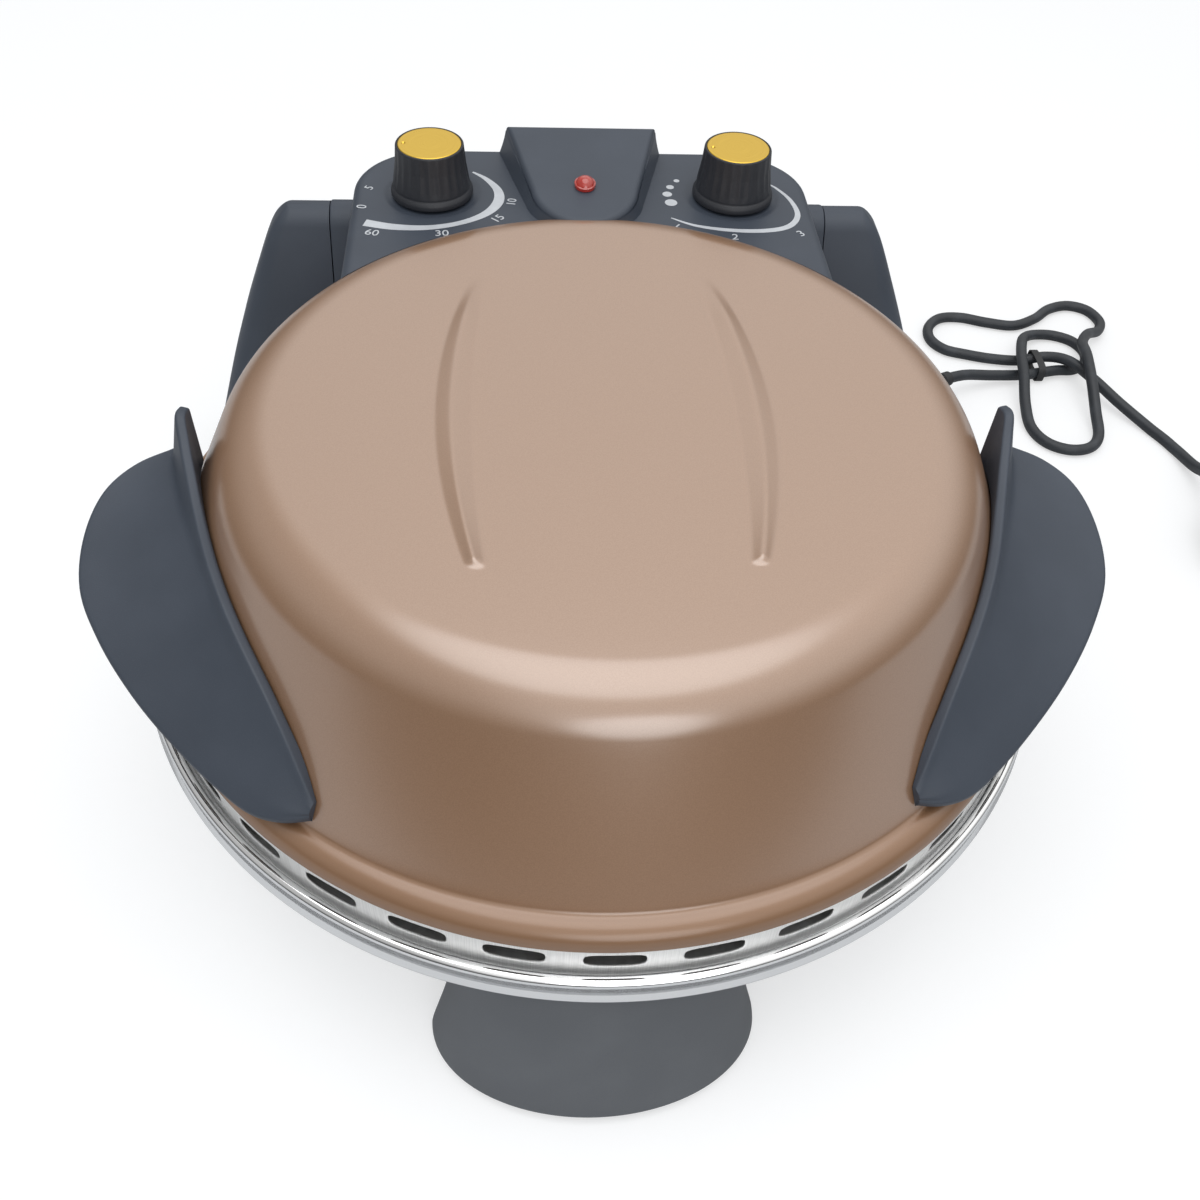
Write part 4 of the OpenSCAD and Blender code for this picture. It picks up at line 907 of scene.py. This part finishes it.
def numberMesh(text, x, y, size, turn, z, thick):
    curve = bpy.data.curves.new("number", "FONT")
    curve.body = text
    curve.size = size * mm
    curve.extrude = thick / 2 * mm
    curve.align_x = curve.align_y = "CENTER"
    letters = addObject("number", curve)
    place = Matrix.Translation((x * mm, y * mm, (z + thick / 2) * mm))
    letters.matrix_world = place @ Matrix.Rotation(math.radians(turn), 4, "Z")
    bpy.context.view_layer.update()
    mesh = bpy.data.meshes.new_from_object(letters.evaluated_get(bpy.context.evaluated_depsgraph_get()))
    mesh.transform(letters.matrix_world)
    bpy.data.objects.remove(letters)
    return mesh


def makeDial(word, side, s):
    low, high = s["z"] - s["sunk"], s["z"] + s["thick"]
    meshes = [bandMesh(s[word], low, high)]
    meshes += [numberMesh(*n, s["z"], s["thick"] + s["proud"]) for n in s["numbers"] if side * n[1] > 0]
    meshes += [dotMesh(*dot, low, high) for dot in s["dots"] if side * dot[0] > 0]
    placePiece(word + "Scale", meshes, "lid", finish=finishes["print"])


makeDial("timer", -1, dials)
makeDial("thermostat", 1, dials)
print("knobs, lamp and dials made")


# Bowl: rolled rim, a polished band and a taper down to a flat floor

bowl = dict(r=173, rimZ=68.4, rimR=2, band=8.8, floorZ=24, floorR=108, sheet=1.2,
            taper=[(165, 15), (150, 29), (128, 41.5), (112, 44.4)])  # radius, depth under the rim


def makeBowl(s):
    outer = [(s["r"], s["rimZ"] - 2.2), (s["r"], s["rimZ"] - s["band"])]
    outer += [(r, s["rimZ"] - depth) for r, depth in s["taper"]]
    outer += [(s["floorR"], s["floorZ"]), (0.0, s["floorZ"])]
    outer = smoothProfile(outer, [0.2, 1.4, 6, 9, 9, 2, 2, 0.2], 8)
    roll = arc((s["r"] - s["rimR"] + 0.3, s["rimZ"] - 0.4), s["rimR"], 200, -42, 22)
    inner = offsetLine(outer, -s["sheet"])[::-1]
    inner[:, 0] = np.maximum(inner[:, 0], 0)
    inner = inner[inner[:, 1] < s["rimZ"] - 3.0]
    shell = revolve(np.vstack([roll, outer[1:], inner]), 360)
    gridPiece("bowlShell", shell, "base", ["chrome_bowl"], "chrome", 50, rows=True)


makeBowl(bowl)


# Radius of the bowl's outside at a height, with a gap; nothing below its floor
def bowlRadius(z, gap=0.4):
    radii, depths = np.array(bowl["taper"][::-1]).T
    heights = np.r_[bowl["floorZ"], bowl["rimZ"] - depths[1:], bowl["rimZ"] - bowl["band"], 400.0]
    skin = np.interp(z, heights, np.r_[radii, bowl["r"], bowl["r"]])
    return np.where(z < bowl["floorZ"] - 0.3, 0.0, skin + gap)


# Legs: sections at each height run from the bowl's skin to the outer edge, between front and rear lines

leg = dict(inner=112.4, footInner=92, frontY=104, rearY=190, pad=3, corner=14, bevel=1.2, outer=[
    (131, 134.3), (139, 125.5), (148.4, 105), (160, 76), (171, 42), (183, 3)])  # x, z


def makeLeg(side, word, s):
    r, low, axisY, axisZ = hinge["barrelD"] / 2, s["pad"], hinge["y"], hinge["z"]
    profile = barrelOutline(r, (s["frontY"] - axisY, low - axisZ), (s["rearY"] - axisY, low - axisZ), 60)
    a = np.radians(np.linspace(-20, 90, 26))
    heights = np.unique(np.r_[low, low + 0.8, np.linspace(low + 1.6, axisZ + profile[1][1], 60),
                              axisZ + r * np.sin(a)[np.sin(a) > 0.2]])
    heights = heights[heights <= axisZ + r]
    peak = int(np.argmax(profile[:, 1]))
    front, rear = (axisY + np.interp(heights - axisZ, half[:, 1], half[:, 0])[:, None]
                   for half in (profile[:peak + 1], profile[peak:][::-1]))
    edge = smoothRows(s["outer"], 12)[::-1]
    outer = np.interp(heights, edge[:, 1], edge[:, 0])[:, None]
    inner = np.interp(heights, [0, 54, 74, 400], [s["footInner"], s["footInner"], s["inner"], s["inner"]])
    y = rear + np.linspace(0, 1, 40)[None, :] * (front - rear)
    x = np.maximum(inner[:, None], np.sqrt(np.clip(bowlRadius(heights)[:, None]**2 - y**2, 0, None)))
    cut = np.minimum(s["corner"], 0.3 * (rear - front))
    quarter = np.radians(90 * np.linspace(0, 1, 12)[None, :])
    across, along = cut * np.sin(quarter), cut * np.cos(quarter)
    plan = np.concatenate([np.stack([x, y], -1),
                           np.stack([outer - cut + across, front + cut - along], -1),
                           np.stack([outer - cut + along, rear - cut + across], -1)], axis=1)
    z = np.broadcast_to(heights[:, None], plan.shape[:2])
    grid = np.stack([side * plan[..., 0], plan[..., 1], z], -1)
    gridPiece("legShell" + word.title(), grid, "base", ["leg_" + word], "black_plastic",
              bevel=s["bevel"], caps=(0, -1))


for side, word in sides:
    makeLeg(side, word, leg)


# Front foot: a bow in front and a straight back, flared to the table and cut along the bowl

foot = dict(x=-6, pad=3, rows=[  # height, half width, front, back
    (3, 57, 190, 122), (9, 56, 188, 122), (24, 52, 182, 124), (42, 48, 175, 128), (60, 45, 170, 132)])


def makeFoot(s):
    z, w, front, back = (column[:, None] for column in smoothRows(s["rows"], 14).T)
    inset = 0.9 * (1 - ease(z, s["pad"], s["pad"] + 1.6))
    w, front = w - inset, front - inset
    cornerY = back + 0.48 * (front - back)
    a = np.linspace(0, math.pi, 73)[None, :]
    bow = np.stack([s["x"] - w * np.cos(a), -cornerY - (front - cornerY) * np.sin(a)], -1)
    share = np.linspace(0, 1, 32)[None, :]
    rear = np.stack([s["x"] + 0.8 * w * (1 - 2 * share), -back + 0 * share], -1)
    plan = np.concatenate([rear, bow], axis=1)
    height = np.broadcast_to(z, plan.shape[:2])[..., None]
    r = np.linalg.norm(plan, axis=-1, keepdims=True)
    grid = np.concatenate([plan * np.maximum(1, bowlRadius(height) / r), height], -1)
    # The foot is finished in the lighter copy of the black plastic, with painted light
    gridPiece("footShell", grid, "base", ["front_foot"], "black_plastic",
              finish=finishes["foot_plastic_painted_light"], caps=(0, -1))


makeFoot(foot)
print("bowl, legs and foot made")


# Mains cord: out of the strain relief, along the table in its tied loops, and into the plug

cordWay = dict(diameter=6, sides=20, steps=8, points=[
    (211.03, 198.5, 14), (224, 205.5, 11), (242, 211, 6.5), (262, 214, 4.6), (282, 218, 4.6),
    (293, 220, 3.6), (302, 226, 3.2), (306, 237, 3.2), (302, 248, 3.2), (292, 254, 3.2), (280, 253, 4.4),
    (271, 246, 7.4), (265, 235, 11), (260, 220, 12.6), (257, 204, 11.4), (254, 186, 6), (253, 169, 3.2),
    (258, 156, 3.2), (269, 150, 3.2), (281, 152, 3.2), (289, 162, 3.2), (291, 177, 7.5), (292, 194, 15),
    (294, 213, 19), (299, 231, 14.5), (308, 245, 10.6), (320, 256, 5), (326, 268, 3.2), (322, 280, 3.2),
    (311, 285, 3.2), (298, 281, 3.2), (286, 271, 3.2), (271, 264, 3.2), (255, 267, 3.2), (240, 272, 3.2),
    (227, 271, 3.2), (218, 262, 3.2), (216, 250, 3.2), (222, 240, 3.2), (234, 235, 3.2), (248, 231, 3.2),
    (263, 228, 4.2), (277, 226, 8.4), (288, 218, 11.2), (298, 203, 9.6), (308, 186, 6.5), (320, 168, 3.2),
    (328, 150, 3.2), (330, 132, 7), (329, 116, 15), (328, 104, 18)])
gland = dict(at=(166, 172.5, 14), turn=30, rootR=6.5, rootL=22, taper=30, tipR=4, grooves=6,
             grooveDepth=1.2)
plug = dict(at=(328, 104, 18), turn=-90, neck=14, length=34, r=17, grips=24, pinR=2.4,
            pinL=19, pitch=19)
tie = dict(at=(271, 221.5, 5.6), halfY=10.3, halfZ=5.5, width=4, thick=0.8)


# Tube: rings of radius r square to the path, kept upright by crossing its direction with the vertical
def tubeGrid(path, r, sides):
    along = directions(path)
    across = np.cross(along, (0, 0, 1.0))
    across /= np.linalg.norm(across, axis=1, keepdims=True)
    upright = np.cross(across, along)
    a = ((np.arange(sides) + 0.5) * 2 * math.pi / sides)[None, :, None]
    return path[:, None] + r * (np.cos(a) * across[:, None] + np.sin(a) * upright[:, None])


# Points of a profile turned round a level axis that starts at a place and points along a compass turn
def turnedAlong(profile, at, turn, columns):
    side, up, x = np.moveaxis(revolve(np.asarray(profile, float)[:, ::-1], columns), -1, 0)
    c, s = math.cos(math.radians(turn)), math.sin(math.radians(turn))
    return np.stack([at[0] + x * c - side * s, at[1] + x * s + side * c, at[2] + up], -1)


# Strain relief: a collar and a cone with grooves of half a sine wave each
def makeGland(g):
    x = np.linspace(0, g["taper"], 90)
    r = g["rootR"] + (g["tipR"] - g["rootR"]) * x / g["taper"]
    wave = np.clip(np.sin(2 * math.pi * g["grooves"] * (x - 3) / (g["taper"] - 6)), 0, 1)
    wave = wave * (x > 3) * (x < g["taper"] - 3)
    end = g["rootL"] + g["taper"] + 0.3
    relief = np.vstack([[(1.0, 0.0), (1.0, g["rootR"]), (g["rootL"] - 0.2, g["rootR"])],
                        np.column_stack([g["rootL"] + x, r - g["grooveDepth"] * wave**0.5]),
                        [(end, g["tipR"] - 0.6), (end, 0.0)]])
    gridPiece("strainRelief", turnedAlong(relief, g["at"], g["turn"], 48), "base", ["cord_gland"], "rubber")


# Plug: a turned body with a ribbed grip, and two round pins
def makePlug(p):
    n, l, r = p["neck"], p["length"], p["r"]
    body = smoothProfile([
        (0, 0), (0, 4.0), (4, 4.6), (n - 3, 8.0), (n, 10.6), (n + 6, 14.6), (n + l / 2, r - 0.6),
        (n + l / 2 + 3, r), (n + l - 1.5, r), (n + l, r - 1.5), (n + l, 0)], 1.6, 5)
    shell = turnedAlong(body, p["at"], p["turn"], 96)
    x, y, z = p["at"]
    a = np.arctan2(shell[..., 2] - z, shell[..., 0] - x)
    along = y - shell[..., 1]
    grip = ease(along, n + 2, n + 6) * ease(n + l / 2 + 2 - along, 0, 3)
    squeeze = 1 - 0.05 * grip * (0.5 + 0.5 * np.cos(p["grips"] * a))
    shell[..., 0] = x + (shell[..., 0] - x) * squeeze
    shell[..., 2] = z + (shell[..., 2] - z) * squeeze
    piece = gridPiece("plugShell", shell, "base", ["plug_body"], "cord_rubber", 45)
    end, pinR = p["pinL"] + 7.0, p["pinR"]
    pin = [(0.0, 0.0), (0.0, pinR), (end - 1.4, pinR), (end, pinR - 1.2), (end, 0.0)]
    pins = [gridMesh("pin", turnedAlong(pin, (x + way * p["pitch"] / 2, y - n - l + 7, z), p["turn"], 32))
            for way in (-1, 1)]
    return [piece, placePiece("plugPins", pins, "base", ["plug_pins"], "chrome")]


# Strap round the bundle: the loop is (cos a, sin a), each to the power 0.5, times its half sizes
def makeTie(t):
    a = np.linspace(0, 2 * math.pi, 64, endpoint=False)
    bulge = lambda k: np.sign(k) * np.abs(k)**0.5
    loop = np.stack([bulge(np.cos(a)) * t["halfY"], bulge(np.sin(a)) * t["halfZ"]], -1)
    out = loop / np.linalg.norm(loop, axis=1, keepdims=True)
    half, thick = t["width"] / 2, t["thick"]
    section = ((-half, 0.0), (-half, thick), (half, thick), (half, 0.0))
    grid = np.stack([np.column_stack([np.full(len(a), t["at"][0] + x),
                                      t["at"][1:] + (loop - out * (thick - lift))]) for x, lift in section])
    return gridPiece("cordStrap", grid, "base", ["cord_tie"], "rubber", rows=True)


def makeCord(w, g, p, t):
    points = np.round(np.array(w["points"]) * mm, 6)
    diameter = round(w["diameter"] * mm, 6)
    path = smoothRows(points, w["steps"])
    path[:, 2] = np.maximum(path[:, 2], diameter / 2)
    tube = tubeGrid(path, diameter / 2, w["sides"]) / mm
    cord = gridPiece("mainsCord", tube, "base", ["cord_lead", "cord_bundle", "cord_tail"], "cord_rubber", 50,
                     caps=(0, -1))
    makeGland(g)
    body, pins = makePlug(p)
    strap = makeTie(t)


makeCord(cordWay, gland, plug, tie)
print("cord made")
